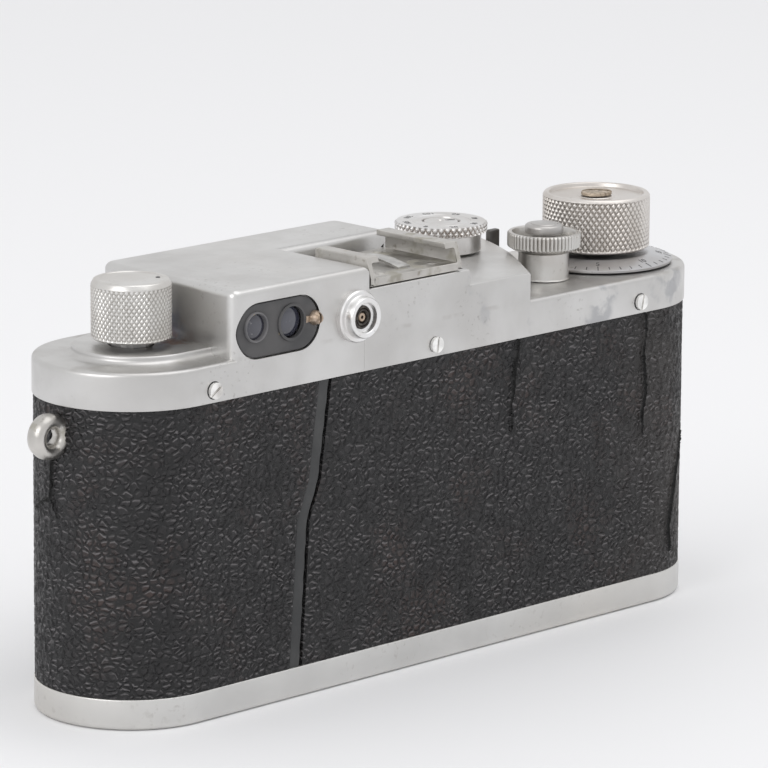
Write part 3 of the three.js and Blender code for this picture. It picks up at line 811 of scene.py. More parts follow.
cover = carved(cover, [
    pocket, holed(2.6, sync_x, sync_z, 10, 20),
    holed(2.7, 40.5, 61.3, 10, 20),
    holed(2.7, 32.8, 61.0, 10, 20),
    holed(2.6, outer_window_x, window_z, -20, -13),
    holed(3.4, inner_window_x, window_z, -20, -13), view_window,
    moved(turned([(0, inner_start), (3.6, inner_start), (3.6, 60), (0, 60)], 40), shift(rewind_x, 0, 0)),
    moved(turned([(0, inner_start), (3.3, inner_start), (3.3, 58), (0, 58)], 40), shift(wind_x, 0, 0)),
    moved(turned([(0, inner_start), (1.8, inner_start), (1.8, 63), (0, 63)], 24),
          shift(speed_x, speed_y, 0)),
    moved(turned([(0, inner_start), (2.2, inner_start), (2.2, 58), (0, 58)], 24),
          shift(release_x, release_y, 0)),
])


def cover_finish():
    """The cover's satin chrome: cloudy and pitted low on the housing."""
    finish = Finish("cover_chrome", metallic=1.0)
    x, y, z = (finish.node("ShaderNodeSeparateXYZ", None, {0: finish.place})[axis] for axis in "XYZ")
    clouds = finish.noise(60, 5.0).fade(0.32, 0.72)
    colour = finish.blend(clouds, (0.66, 0.655, 0.645, 1), (0.56, 0.552, 0.540, 1))
    colour = finish.blend(finish.noise(24, 2.0).fade(0.42, 0.75) * 0.7, colour, (0.62, 0.585, 0.545, 1))
    end_side = (x * -1).fade(-0.012, 0.020)
    pitted = finish.noise(110, 5.0).fade(0.47, 0.60) * end_side * y.fade(0.012, 0.0152)
    blotch = finish.noise(210, 4.0).fade(0.50, 0.60) * pitted
    specks = (1 - finish.noise(1300, 4.0).fade(0.28, 0.42)) * finish.noise(75, 3.0).fade(0.50, 0.68)
    colour = finish.blend(blotch * 0.7, colour, (0.41, 0.415, 0.43, 1))
    colour = finish.blend(specks * 0.35, colour, (0.26, 0.24, 0.22, 1))
    near_wall = finish.node("ShaderNodeVectorMath", {"operation": "DISTANCE"},
                            {0: finish.place, 1: Vector((47.2, 2.0, 57.6)) * mm})["Value"]
    stain = 1 - near_wall.fade(0.0012, 0.0055)
    stain = stain * finish.noise(420, 3.0).fade(0.40, 0.58)
    colour = finish.blend(stain * 0.8, colour, (0.36, 0.17, 0.07, 1))
    # Painted shade: a blue-grey darkening of the cover close round the rewind knob, on the housing's end
    # wall and the top of the knob's foot.
    wall_shade_distance = finish.node("ShaderNodeVectorMath", {"operation": "DISTANCE"},
                       {0: finish.place, 1: Vector((46.6, 0.0, 59.6)) * mm})["Value"]
    colour = finish.blend((1 - wall_shade_distance.fade(0.0010, 0.0060)) * finish.noise(500, 2.0).fade(0.3, 0.6) * 0.6,
                          colour, (0.20, 0.24, 0.36, 1))
    grime = z.fade(0.0569, 0.0573) * -1 + 1
    low_creases = grime * z.fade(0.0562, 0.0567) * finish.noise(200, 3.0).fade(0.45, 0.7) * 0.35
    colour = finish.blend(low_creases, colour, (0.30, 0.27, 0.24, 1))
    finish.wire(
        base_color=colour,
        roughness=finish.noise(240, 4.0).fade(0.3, 0.7) * 0.10 + 0.33 + blotch * 0.10 + specks * 0.15,
    )
    finish.relief(finish.noise(3600, 2.0) * 0.35 - specks * 1.2 - blotch * 0.3, 0.03 * mm, 0.4)
    return finish.material


cover_chrome = cover_finish()
piece("top_shell", cover, cover_chrome, "camera_body", "chrome_cap", "top_cover", crease=34)


# ---- Knurling ----
# The knobs, the speed ring and the release collar are turned brass, knurled on the lathe and chromed.
# A wheel pressed two crossing sets of grooves into each, so the tops stay flat and the grooves hold grime.

knurl = Recipe("knurl", AxisX=0.0, AxisY=0.0, Radius=0.009, Around=60.0, Pitch=1.4 * mm, Cross=1.0,
               Depth=0.3 * mm, Bottom=0.0, Top=1.0, Flat=0.7)
knurl_x, knurl_y, knurl_z = knurl.parts(knurl.place)
off_x = knurl_x - knurl.size("AxisX")
off_y = knurl_y - knurl.size("AxisY")
reach = knurl.node("ShaderNodeMath", {"operation": "SQRT"}, {0: off_x * off_x + off_y * off_y})
turns = off_y.maths("ARCTAN2", off_y, off_x) * (0.5 / math.pi) * knurl.size("Around")
climb = (knurl_z - knurl.size("Bottom")) / knurl.size("Pitch") * knurl.size("Cross")
ridge = ((turns + climb).zigzag(0.5) * 2).least((turns - climb).zigzag(0.5) * 2)
ridge = ridge.least(knurl.size("Flat")) / knurl.size("Flat")
room_low = (knurl_z - knurl.size("Bottom")).fade(-0.05 * mm, 0.25 * mm)
room_high = (knurl.size("Top") - knurl_z).fade(-0.05 * mm, 0.25 * mm)
on_wall = (reach - knurl.size("Radius")).fade(-0.06 * mm, -0.02 * mm)
cut = (1 - ridge) * room_low * room_high * on_wall
marked = knurl.node("GeometryNodeStoreNamedAttribute", {"data_type": "FLOAT", "domain": "POINT"},
                    {"Geometry": knurl.size("Geometry"), "Name": "cut", "Value": cut})
inward = knurl.scaled(knurl.vector(off_x, off_y), cut * knurl.size("Depth") / reach * -1)
knurl.end(knurl.node("GeometryNodeSetPosition", None, {"Geometry": marked, "Offset": inward}))


def knurled(name, profile, axis, steps, **sizes):
    """A turned shape about an axis, with its upright wall cut into close rows and knurled."""
    rows = []
    for start, stop in zip(profile, profile[1:] + [profile[-1]]):
        rows.append(start)
        span = stop[1] - start[1]
        if abs(stop[0] - start[0]) < 1e-6 and abs(span) > 1:
            count = round(abs(span) / 0.12)
            rows += [(start[0], start[1] + span * i / count) for i in range(1, count)]
    made = to_object(name, moved(turned(rows, steps), shift(*axis, 0)))
    values = {"AxisX": axis[0] * mm, "AxisY": axis[1] * mm, "Radius": max(r for r, z in rows) * mm}
    values.update({key: value * mm if key in ("Pitch", "Depth", "Bottom", "Top") else value
                   for key, value in sizes.items()})
    return knurl.worked(made, **values)


def turned_finish(name, tone, axis=(0, 0), grime=(0.16, 0.13, 0.10), roughness=0.30, rings=0.5,
                  upright=True):
    """Chromed turned brass: fine lathe rings about its axis, flat bright tops and grime in the grooves."""
    finish = Finish(name, metallic=1.0)
    split = finish.node("ShaderNodeSeparateXYZ", None, {0: finish.place})
    across = split["X"] - axis[0] * mm
    along = split["Y" if upright else "Z"] - axis[1] * mm
    far = finish.node("ShaderNodeMath", {"operation": "SQRT"}, {0: across * across + along * along})
    lathe = (far * 2600 + finish.noise(300, 2.0) * 0.8).zigzag(0.5)
    cut = finish.node("ShaderNodeAttribute", {"attribute_name": "cut"})["Fac"]
    clouds = finish.noise(130, 4.0).fade(0.3, 0.7)
    colour = finish.blend(clouds, (*tone, 1), (tone[0] * 0.86, tone[1] * 0.84, tone[2] * 0.82, 1))
    specks = 1 - finish.noise(1100, 3.0).fade(0.24, 0.36)
    colour = finish.blend(specks * 0.35, colour, (0.30, 0.26, 0.22, 1))
    dirt = cut.fade(0.35, 1.0) * (finish.noise(500, 3.0).fade(0.2, 0.6) * 0.5 + 0.5)
    colour = finish.blend(dirt * 0.7, colour, (*grime, 1))
    finish.wire(
        base_color=colour, roughness=finish.noise(350, 3.0) * 0.12 + roughness + dirt * 0.35,
        metallic=1 - dirt * 0.5,
    )
    finish.relief(lathe * rings + finish.noise(3000, 2.0) * 0.4 - specks, 0.02 * mm, 0.5)
    return finish.material


# ---- Wind knob ----
# The large knurled knob that winds the film and cocks the shutter. A slotted brass screw in its
# recessed top holds it on its shaft.

wind_axis = (wind_x, 0)
wind_chrome = turned_finish("wind_chrome", (0.72, 0.69, 0.66), wind_axis)
knob_low, knob_high = low("wind_knob").z / mm, high("wind_knob").z / mm
wind_radius = (high("wind_knob").x - low("wind_knob").x) / 2 / mm
wind_profile = [(0, knob_low), (wind_radius - 0.6, knob_low), (wind_radius - 0.15, knob_low + 0.3),
                (wind_radius, knob_low + 0.5), (wind_radius, knob_high - 0.5)]
wind_profile += softened([(wind_radius, knob_high - 0.5), (wind_radius - 0.1, knob_high - 0.35),
                          (wind_radius - 0.35, knob_high, 0.2), (8.0, knob_high, 0.2),
                          (7.85, knob_high - 0.7, 0.1),
                          (3.2, knob_high - 0.75), (3.1, knob_high - 0.66), (0, knob_high - 0.66)], 3)[1:]
knob = knurled("knob", [tuple(p) for p in wind_profile], wind_axis, 480, Around=58.0, Pitch=1.42,
               Depth=0.34, Bottom=knob_low + 0.5, Top=knob_high - 0.5, Flat=0.55)
piece("wind_knob_turned", knob, wind_chrome, "wind", "chrome_fittings", "wind_knob", crease=40)


def brass_finish(name, tone=(0.40, 0.33, 0.25)):
    """Old brass with its plating rubbed away in places and brown dirt round it."""
    finish = Finish(name, metallic=1.0)
    worn = finish.noise(900, 4.0).fade(0.40, 0.62)
    dirt = finish.noise(1500, 3.0).fade(0.50, 0.66)
    colour = finish.blend(worn, (*tone, 1), (tone[0] * 1.45, tone[1] * 1.5, tone[2] * 1.6, 1))
    finish.wire(
        base_color=finish.blend(dirt * 0.6, colour, (0.14, 0.10, 0.07, 1)),
        roughness=finish.noise(700, 3.0) * 0.2 + 0.32,
    )
    finish.relief(finish.noise(2500, 3.0) - dirt, 0.02 * mm, 0.5)
    return finish.material


def screw_head(radius, top, slot_width, turn_degrees, dome=0.25, depth=0.5, thick=0.9):
    """A slotted screw head about Z, with a low dome."""
    rim = softened([(radius - 0.08, top - thick), (radius, top - thick), (radius, top - dome, 0.12)], 4)
    angles = [math.pi / 2 * i / 8 for i in range(1, 9)]
    crown = [(radius * math.cos(a), top - dome + dome * math.sin(a)) for a in angles]
    head = turned([(0, top - thick), *[tuple(p) for p in rim], *crown[:-1], (0, top)], 48)
    slot = block(-radius * 1.2, radius * 1.2, -slot_width / 2, slot_width / 2, top - depth, top + 1)
    return carved(head, [moved(slot, Matrix.Rotation(math.radians(turn_degrees), 4, "Z"))])


old_brass = brass_finish("old_brass")
screw_top = high("wind_knob_screw").z / mm
wind_screw = screw_head(2.45, screw_top + 0.1, 0.75, 128, 0.28, 0.4, 0.7)
piece("wind_knob_slot_screw", moved(wind_screw, Matrix.Diagonal((1.12, 1, 1, 1)), shift(wind_x, 0, 0)),
      old_brass, "wind", "brass", "wind_knob_screw")


# ---- Frame counter ----
# A flat cone of chromed brass under the wind knob, engraved with forty frames and filled with black.

counter_chrome = turned_finish("counter_chrome", (0.60, 0.605, 0.62), wind_axis, roughness=0.26)
dial_low, dial_high = low("counter_dial").z / mm, high("counter_dial").z / mm
dial_radius = (high("counter_dial").x - low("counter_dial").x) / 2 / mm
cone_top = 9.3
dial_profile = softened([(3.4, dial_low), (dial_radius - 0.15, dial_low),
                         (dial_radius, dial_low + 0.42, 0.12),
                         (cone_top, dial_high, 0.2), (3.4, dial_high)], 3)
counter = moved(turned([tuple(p) for p in dial_profile], 128, True), shift(wind_x, 0, 0))
piece("counter_cone", counter, counter_chrome, "frame_counter", "chrome_fittings", "counter_dial",
      crease=30)

ticks = Recipe("tick_ring", Count=40, Every=5.0, Radius=0.012, Length=1.0 * mm, Longer=1.7, Width=0.14 * mm,
               Thick=0.03 * mm, Tilt=0.0, Paint="material")
spots = ticks.node("GeometryNodeMeshCircle", None,
                   {"Vertices": ticks.size("Count"), "Radius": ticks.size("Radius")})
bar_size = ticks.vector(ticks.size("Length"), ticks.size("Width"), ticks.size("Thick"))
bar = ticks.node("GeometryNodeMeshCube", None, {"Size": bar_size})
count_on = ticks.node("GeometryNodeInputIndex")
angle = count_on / ticks.size("Count") * (2 * math.pi)
often = (count_on / ticks.size("Every")).maths("FRACT", count_on / ticks.size("Every") + 0.001)
is_long = 1 - often.above(0.01)
grown = is_long * (ticks.size("Longer") - 1) + 1
placed = ticks.node("GeometryNodeInstanceOnPoints", None, {
    "Points": spots, "Instance": bar, "Rotation": ticks.vector(0.0, ticks.size("Tilt"), angle),
    "Scale": ticks.vector(grown, 1.0, 1.0)})
real = ticks.node("GeometryNodeRealizeInstances", None, {0: placed})
ticks.end(ticks.node("GeometryNodeSetMaterial", None, {"Geometry": real, "Material": ticks.size("Paint")}))


def ink_finish():
    """Black filler in engraved marks, chipped and greyed in places."""
    finish = Finish("engraving_ink", metallic=0.0)
    chips = finish.noise(1800, 3.0).fade(0.52, 0.66)
    finish.wire(
        base_color=finish.blend(chips, (0.03, 0.03, 0.033, 1), (0.22, 0.215, 0.21, 1)),
        roughness=finish.noise(900, 2.0) * 0.2 + 0.5,
    )
    return finish.material


ink = ink_finish()


def lettering(words):
    """Flat letters, a little raised, from (text, height in mm, matrix) entries, as one shape."""
    shape = bmesh.new()
    for text, height, matrix in words:
        curve = bpy.data.curves.new("letters", "FONT")
        curve.body = text
        curve.size = height * mm * 1.35
        curve.extrude = 0.012 * mm
        curve.align_x = "CENTER"
        curve.align_y = "CENTER"
        curve.resolution_u = 3
        flat = bpy.data.objects.new("letters", curve)
        bpy.context.collection.objects.link(flat)
        graph = bpy.context.evaluated_depsgraph_get()
        mesh = bpy.data.meshes.new_from_object(flat.evaluated_get(graph))
        mesh.transform(matrix)
        shape.from_mesh(mesh)
        bpy.data.objects.remove(flat)
    bmesh.ops.remove_doubles(shape, verts=shape.verts, dist=1e-7)
    return shape


def joined(*shapes):
    """Several shapes as one, side by side."""
    whole = bmesh.new()
    for shape in shapes:
        mesh = bpy.data.meshes.new("part")
        shape.to_mesh(mesh)
        shape.free()
        whole.from_mesh(mesh)
    return whole


def tick_ring(axis, height, **sizes):
    """Ticks in a ring about an axis, at a height, as a shape. Sizes are in mm."""
    made = bpy.data.objects.new("ticks", bpy.data.meshes.new("ticks"))
    bpy.context.collection.objects.link(made)
    values = {key: value * mm if key in ("Radius", "Length", "Width", "Thick") else value
              for key, value in sizes.items()}
    ticks.worked(made, Paint=ink, **values)
    shape = bmesh.new()
    shape.from_mesh(made.data)
    bpy.data.objects.remove(made)
    return moved(shape, shift(*axis, height))


cone_tilt = math.atan((dial_high - dial_low - 0.42) / (dial_radius - cone_top))


def on_cone(radius, turn_angle):
    """A place on the counter's cone, facing out of it, with letters' feet towards the rim."""
    z = dial_high - (radius - cone_top) * math.tan(cone_tilt) + 0.01
    lean = Matrix.Translation(Vector((radius, 0, z)) * mm) @ Matrix.Rotation(cone_tilt, 4, "Y")
    return shift(wind_x, 0, 0) @ Matrix.Rotation(turn_angle, 4, "Z") @ lean @ Matrix.Rotation(math.pi / 2,
                                                                                              4, "Z")


tick_radius = dial_radius - 0.85
tick_height = dial_high - (tick_radius - cone_top) * math.tan(cone_tilt) + 0.01
frame_ticks = tick_ring(wind_axis, tick_height, Count=40, Every=5.0, Radius=tick_radius, Length=0.85,
                        Longer=1.6, Width=0.16, Thick=0.03, Tilt=cone_tilt)
numbers = [(str(5 * i), 1.15, on_cone(dial_radius - 2.25, 2 * math.pi * i / 8)) for i in range(8)]
piece("counter_marks", joined(frame_ticks, lettering(numbers)), ink, "frame_counter", "black_paint")


# ---- Rewind knob ----
# A slimmer knob, knurled finer, with a smooth chamfered top. It pulls up on its keyed sleeve.

rewind_axis = (rewind_x, 0)
rewind_chrome = turned_finish("rewind_chrome", (0.70, 0.69, 0.67), rewind_axis, (0.30, 0.28, 0.25), 0.27)
rewind_low, rewind_high = low("rewind_knob").z / mm, high("rewind_knob").z / mm
rewind_radius = (high("rewind_knob").x - low("rewind_knob").x) / 2 / mm
rewind_profile = [(0, rewind_low), (rewind_radius - 0.25, rewind_low), (rewind_radius, rewind_low + 0.25),
                  (rewind_radius, rewind_high - 0.95)]
rewind_profile += softened([(rewind_radius, rewind_high - 0.95),
                            (rewind_radius - 0.05, rewind_high - 0.8, 0.1),
                            (rewind_radius - 0.4, rewind_high - 0.15, 0.15),
                            (rewind_radius - 0.8, rewind_high, 0.2),
                            (rewind_radius - 1.3, rewind_high, 0.05),
                            (rewind_radius - 1.4, rewind_high - 0.12, 0.05),
                            (0, rewind_high - 0.1)], 4)[1:]
knob = knurled("knob", [tuple(p) for p in rewind_profile], rewind_axis, 400, Around=48.0, Pitch=1.12,
               Depth=0.22, Bottom=rewind_low + 0.25, Top=rewind_high - 0.95, Flat=0.6)
piece("rewind_knob_turned", knob, rewind_chrome, "rewind", "chrome_fittings", "rewind_knob", crease=40)
dot_place = (rewind_x - 3.6, 2.2)
dot = turned([(0, rewind_high - 0.4), (0.38, rewind_high - 0.4), (0.36, rewind_high - 0.06),
              (0, rewind_high - 0.04)], 20)
piece("rewind_knob_dot", moved(dot, shift(*dot_place, 0)), ink, "rewind", "black_paint")


# ---- Speed dial ----
# A ring that is lifted and turned to set the shutter speed, over a plain skirt. Its rim has one row of
# crossed grooves, and its bright top carries the speeds.

speed_axis = (speed_x, speed_y)
speed_chrome = turned_finish("speed_chrome", (0.74, 0.735, 0.73), speed_axis, (0.20, 0.125, 0.07), 0.26,
                             0.8)
speed_low, speed_high = low("speed_dial").z / mm, high("speed_dial").z / mm
speed_radius = (high("speed_dial").x - low("speed_dial").x) / 2 / mm
skirt_radius = 6.7
dial_bore = 4.2
grip_low = 64.95
grip_tall = 1.3
well_radius = 3.2
well_floor = 65.3
speed_profile = [(dial_bore, speed_low), (skirt_radius - 0.15, speed_low), (skirt_radius, speed_low + 0.15),
                 (skirt_radius, grip_low - 0.25), (skirt_radius + 0.6, grip_low - 0.2),
                 (speed_radius, grip_low)]
speed_profile += [(speed_radius, grip_low + grip_tall * i / 11) for i in range(1, 12)]
speed_profile += [(speed_radius - 0.3, speed_high), (5.0, speed_high), (4.95, speed_high - 0.06),
                  (4.8, speed_high - 0.06), (4.75, speed_high), (well_radius + 0.05, speed_high),
                  (well_radius, speed_high - 0.1), (well_radius, well_floor), (dial_bore, well_floor)]
dial_shape = to_object("dial", moved(turned(speed_profile, 400, True), shift(*speed_axis, 0)))
dial_made = knurl.worked(dial_shape, AxisX=speed_x * mm, AxisY=speed_y * mm, Radius=speed_radius * mm,
                         Around=44.0,
                         Pitch=1.3 * mm, Depth=0.42 * mm, Bottom=64.8 * mm, Top=66.55 * mm, Flat=0.7)
piece("speed_ring", dial_made, speed_chrome, "speed_setting", "chrome_fittings", "speed_dial", crease=38)


def on_dial(axis, radius, height, turn_angle):
    """A place on a flat dial, with letters' feet towards its rim."""
    return (shift(*axis, height) @ Matrix.Rotation(turn_angle, 4, "Z") @ shift(radius, 0, 0)
            @ Matrix.Rotation(math.pi / 2, 4, "Z"))


speeds = ["B", "20", "30", "40", "60", "100", "200", "500"]
speed_words = [(speed, 1.05, on_dial(speed_axis, 6.05, speed_high + 0.005, 2 * math.pi * i / 8 + 0.35))
               for i, speed in enumerate(speeds)]
piece("speed_marks", lettering(speed_words), ink, "speed_setting", "black_paint")
cap = turned([(0, 65.35), (2.9, 65.35), (2.9, 66.2), (2.75, 66.42), (0.55, 66.52), (0.4, 66.36), (0, 66.3)],
             72)
piece("speed_cap", moved(cap, shift(*speed_axis, 0)), speed_chrome, "shutter_spindle", "chrome_fittings",
      "speed_spindle")
pointer = prism([(-0.22, 0.8), (0.22, 0.8), (0, 2.5)], 66.46, 66.53)
piece("speed_pointer", moved(pointer, Matrix.Rotation(1.2, 4, "Z"), shift(*speed_axis, 0)), ink,
      "shutter_spindle", "black_paint")


# ---- Release ----
# The button sits in a plain tube that is brazed to the deck. A straight-knurled collar turns round it.

release_axis = (release_x, release_y)
release_chrome = turned_finish("release_chrome", (0.63, 0.62, 0.60), release_axis, (0.20, 0.18, 0.15), 0.28)
tube_low, tube_high = low("release_tube").z / mm, high("release_tube").z / mm
tube_radius = (high("release_tube").x - low("release_tube").x) / 2 / mm
tube_profile = [(2.2, tube_low), (tube_radius + 0.25, tube_low), (tube_radius + 0.1, tube_low + 0.12),
                (tube_radius, tube_low + 0.3), (tube_radius, tube_high - 0.15),
                (tube_radius - 0.15, tube_high), (2.2, tube_high)]
piece("release_pillar", moved(turned(tube_profile, 96, True), shift(*release_axis, 0)), release_chrome,
      "camera_body", "chrome_fittings", "release_tube")
collar_low, collar_high = low("release_collar").z / mm, high("release_collar").z / mm
collar_radius = (high("release_collar").x - low("release_collar").x) / 2 / mm
collar_bore = 2.2
collar_floor = 62.7
collar_grip = collar_low + 0.6
collar_profile = [(collar_bore, collar_low), (collar_radius - 0.85, collar_low),
                  (collar_radius - 0.15, collar_low + 0.45), (collar_radius, collar_grip)]
collar_profile += [(collar_radius, collar_grip + (collar_high - 0.25 - collar_grip) * i / 8)
                   for i in range(1, 9)]
collar_profile += [(collar_radius - 0.22, collar_high), (collar_radius - 0.75, collar_high),
                   (collar_radius - 0.95, collar_high - 0.25), (collar_radius - 1.0, collar_floor + 0.05),
                   (collar_bore, collar_floor)]
collar = to_object("collar", moved(turned(collar_profile, 432, True), shift(*release_axis, 0)))
collar = knurl.worked(collar, AxisX=release_x * mm, AxisY=release_y * mm, Radius=collar_radius * mm,
                      Around=54.0, Cross=0.0, Depth=0.30 * mm, Bottom=(collar_low + 0.45) * mm,
                      Top=(collar_high - 0.05) * mm, Flat=0.6)
piece("release_collar_turned", collar, release_chrome, "release_guard", "chrome_fittings", "release_collar",
      crease=38)
button_top = high("release_button").z / mm
button_profile = [(0, 51.5), (1.9, 51.5), (1.9, 64.3), (3.0, 64.3), (3.2, 64.5), (3.2, button_top - 0.75)]
button_profile += [(3.2 - 0.55 * (1 - math.cos(a)), button_top - 0.75 + 0.55 * math.sin(a))
                   for a in (math.pi / 2 * i / 6 for i in range(1, 7))]
button_profile += [(2.3, button_top - 0.2), (2.2, button_top - 0.08), (1.2, button_top - 0.02),
                   (0, button_top)]
button_chrome = turned_finish("button_chrome", (0.56, 0.555, 0.55), release_axis, rings=0.25)
piece("release_button_turned", moved(turned(button_profile, 96), shift(*release_axis, 0)), button_chrome,
      "release", "chrome_fittings", "release_button", crease=40)


# ---- Clutch lever ----
# A bent steel lever beside the speed dial that frees the film for rewinding, with a dark upright thumb tab.


def steel_finish(name, tone=(0.30, 0.295, 0.29), roughness=0.36):
    """Bare machined steel with a grain and a little brown bloom."""
    finish = Finish(name, metallic=1.0)
    grain_lines = finish.noise(700, 3.0).fade(0.3, 0.7)
    bloom = finish.noise(160, 4.0).fade(0.52, 0.70)
    colour = finish.blend(grain_lines, (*tone, 1), (tone[0] * 1.35, tone[1] * 1.35, tone[2] * 1.35, 1))
    finish.wire(
        base_color=finish.blend(bloom * 0.4, colour, (0.17, 0.12, 0.08, 1)),
        roughness=finish.noise(900, 3.0) * 0.2 + roughness,
    )
    finish.relief(finish.noise(2200, 3.0), 0.02 * mm, 0.5)
    return finish.material


dark_steel = steel_finish("dark_steel", (0.13, 0.125, 0.12), 0.32)
lever_low = low("clutch_lever")
lever_high = high("clutch_lever")
lever_x = middle("clutch_lever").x / mm
pivot_y = lever_low.y / mm + 1.5
lever_base, lever_top = lever_low.z / mm, lever_high.z / mm
arm = prism([(-1.5, 0, 1.2), (-1.5, -1.5, 1.2), (1.5, -1.5, 1.2), (1.5, 0, 1.2), (1.2, 4.3, 0.3),
             (-1.2, 4.3, 0.3)],
            lever_base, lever_base + 0.8, 5, (0, 0.15))
tab = eased(block(-1.2, 1.2, 3.1, 4.3, lever_base, lever_top), 0.3, 35, 3)
lever = moved(carved(arm, [tab], "UNION"), shift(lever_x, pivot_y, 0))
piece("clutch_lever_bent", lever, dark_steel, "clutch", "steel", "clutch_lever")
pivot = screw_head(1.2, high("clutch_pivot_screw").z / mm, 0.3, 35, 0.15, 0.3, 0.6)
piece("clutch_screw", moved(pivot, shift(lever_x, pivot_y, 0)),
      steel_finish("screw_steel", (0.45, 0.44, 0.42), 0.25),
      "camera_body", "steel", "clutch_pivot_screw")


# ---- Eyepieces ----
# A black enamelled plate holds two eye lenses: the rangefinder's in a raised thin ring, the viewfinder's
# in a recess with a brass dioptre lever. It is let into the housing and screwed from inside.


def enamel_finish(name, tone, worn=(0.32, 0.27, 0.20), roughness=0.34):
    """Baked black enamel on brass, dulled by handling, with brass showing on a few edges and chips."""
    finish = Finish(name, metallic=0.0)
    chips = finish.noise(800, 4.0).fade(0.70, 0.74)
    clouds = finish.noise(200, 4.0).fade(0.3, 0.7)
    colour = finish.blend(clouds, (*tone, 1), (tone[0] * 1.7, tone[1] * 1.65, tone[2] * 1.6, 1))
    finish.wire(
        base_color=finish.blend(chips, colour, (*worn, 1)),
        roughness=finish.noise(500, 3.0) * 0.25 + roughness, metallic=chips,
    )
    finish.relief(finish.noise(1500, 3.0) - chips, 0.03 * mm, 0.5)
    return finish.material


def glass_finish(name, tint, deep):
    """A coated lens in a dark tube. The coating gives a faint tint that varies in soft patches, with a
    little dust.
    """
    finish = Finish(name, metallic=0.0)
    haze = finish.noise(120, 3.0).fade(0.3, 0.7)
    dust = finish.noise(1600, 3.0).fade(0.64, 0.72)
    colour = finish.blend(haze, (*deep, 1), (*tint, 1))
    finish.wire(
        base_color=finish.blend(dust * 0.25, colour, (0.4, 0.4, 0.4, 1)),
        roughness=finish.noise(400, 3.0) * 0.04 + 0.03 + dust * 0.2, coat_weight=haze * 0.3 + 0.7,
    )
    return finish.material


plate_enamel = enamel_finish("plate_enamel", (0.045, 0.045, 0.047))
inner_black = enamel_finish("inner_black", (0.018, 0.018, 0.018), (0.05, 0.05, 0.05), 0.6)
eye_glass = glass_finish("eye_glass", (0.040, 0.042, 0.060), (0.018, 0.018, 0.026))
lens_glass = glass_finish("lens_glass", (0.09, 0.06, 0.13), (0.015, 0.015, 0.03))
face_y = high("eyepiece_plate").y / mm
plate_low, plate_high = low("eyepiece_plate") / mm, high("eyepiece_plate") / mm
plate_x, plate_z = (plate_low.x + plate_high.x) / 2, (plate_low.z + plate_high.z) / 2
range_x, range_z = middle("rangefinder_eyepiece").x / mm, middle("rangefinder_eyepiece").z / mm
view_x, view_z = middle("viewfinder_eye_lens").x / mm, middle("viewfinder_eye_lens").z / mm
facing_back = Matrix.Rotation(-math.pi / 2, 4, "X")


def on_back(shape, x, z, y):
    """Turns a shape made about Z so that its top faces the back, at a place."""
    return moved(shape, facing_back, shift(x, y, z))


half_wide, half_tall = (plate_high.x - plate_low.x) / 2 - 0.05, (plate_high.z - plate_low.z) / 2 - 0.05
plate = prism(stadium(half_wide, half_tall), plate_low.y - face_y, 0.0, 1, (0, 0.28))
plate = on_back(plate, plate_x, plate_z, face_y)
bore_range = on_back(turned([(0, -12), (2.2, -12), (2.2, 2), (0, 2)], 64), range_x, range_z, face_y)
bore_view = on_back(turned([(0, -12), (2.45, -12), (2.45, -1.2), (2.95, -0.25), (3.1, 1), (0, 1)], 64),
                    view_x, view_z, face_y)
piece("eyepiece_plate_enamelled", carved(plate, [bore_range, bore_view]), plate_enamel, "camera_body",
      "black_paint", "eyepiece_plate", crease=35)
ring_profile = [(1.9, -1.6), (2.4, -1.6), (2.44, 0.2), (2.38, 0.36), (2.26, 0.42), (2.14, 0.36),
                (2.06, 0.12), (2.0, -0.5)]
# The raised ring gets a lighter copy of the plate's enamel: a painted highlight along the ring.
ring_enamel_painted_highlight = enamel_finish("ring_enamel_painted_highlight", (0.10, 0.10, 0.105), roughness=0.24)
piece("rangefinder_eye_ring", on_back(turned(ring_profile, 72, True), range_x, range_z, face_y),
      ring_enamel_painted_highlight, "camera_body", "black_paint", "rangefinder_eyepiece", crease=40)


def lens(radius, edge, bulge, thick, steps=72):
    """A round glass with one domed face, about Z, its edge at a height."""
    angles = [math.pi / 2 * i / 10 for i in range(11)]
    rows = [(radius * math.cos(a), edge + bulge * math.sin(a)) for a in angles]
    return turned([(0, edge - thick), (radius, edge - thick), *rows[:-1], (0, edge + bulge)], steps)


piece("rangefinder_eye_glass", on_back(lens(2.02, -0.3, 0.22, 1.2), range_x, range_z, face_y), eye_glass,
      "camera_body", "glass", "rangefinder_eye_lens")
piece("viewfinder_eye_glass", on_back(lens(2.5, -0.85, 0.35, 1.2), view_x, view_z, face_y), eye_glass,
      "camera_body", "glass", "viewfinder_eye_lens")
lever_brass = brass_finish("lever_brass", (0.36, 0.28, 0.21))
band = turned([(2.5, 0.02), (2.95, 0.02), (3.0, 0.14), (2.95, 0.26), (2.55, 0.26), (2.5, 0.14)], 72, True)
stalk = prism([(-4.7, -0.35), (-2.8, -0.55), (-2.8, 0.55), (-4.7, 0.35)], 0.04, 0.26)
pin_rows = [(0, -0.1), (1.2, -0.1), (1.2, 0.25), (0.85, 1.0), (0.6, 1.35), (0, 1.45)]
pin = carved(moved(turned(pin_rows, 32), shift(-5.0, 0, 0)), [block(-5.15, -4.85, -1.5, 1.5, 0.9, 2)])
piece("dioptre_ring", on_back(band, view_x, view_z, face_y), plate_enamel, "diopter", "black_paint")
swing = on_back(carved(stalk, [pin], "UNION"), view_x, view_z, face_y)
piece("dioptre_lever_turned", swing, lever_brass, "diopter", "brass", "diopter_lever", crease=35)


# ---- Sync socket ----
# A chromed socket for a flash lead: a short flanged tube with a contact pin in the middle, held by an
# insulating ring.

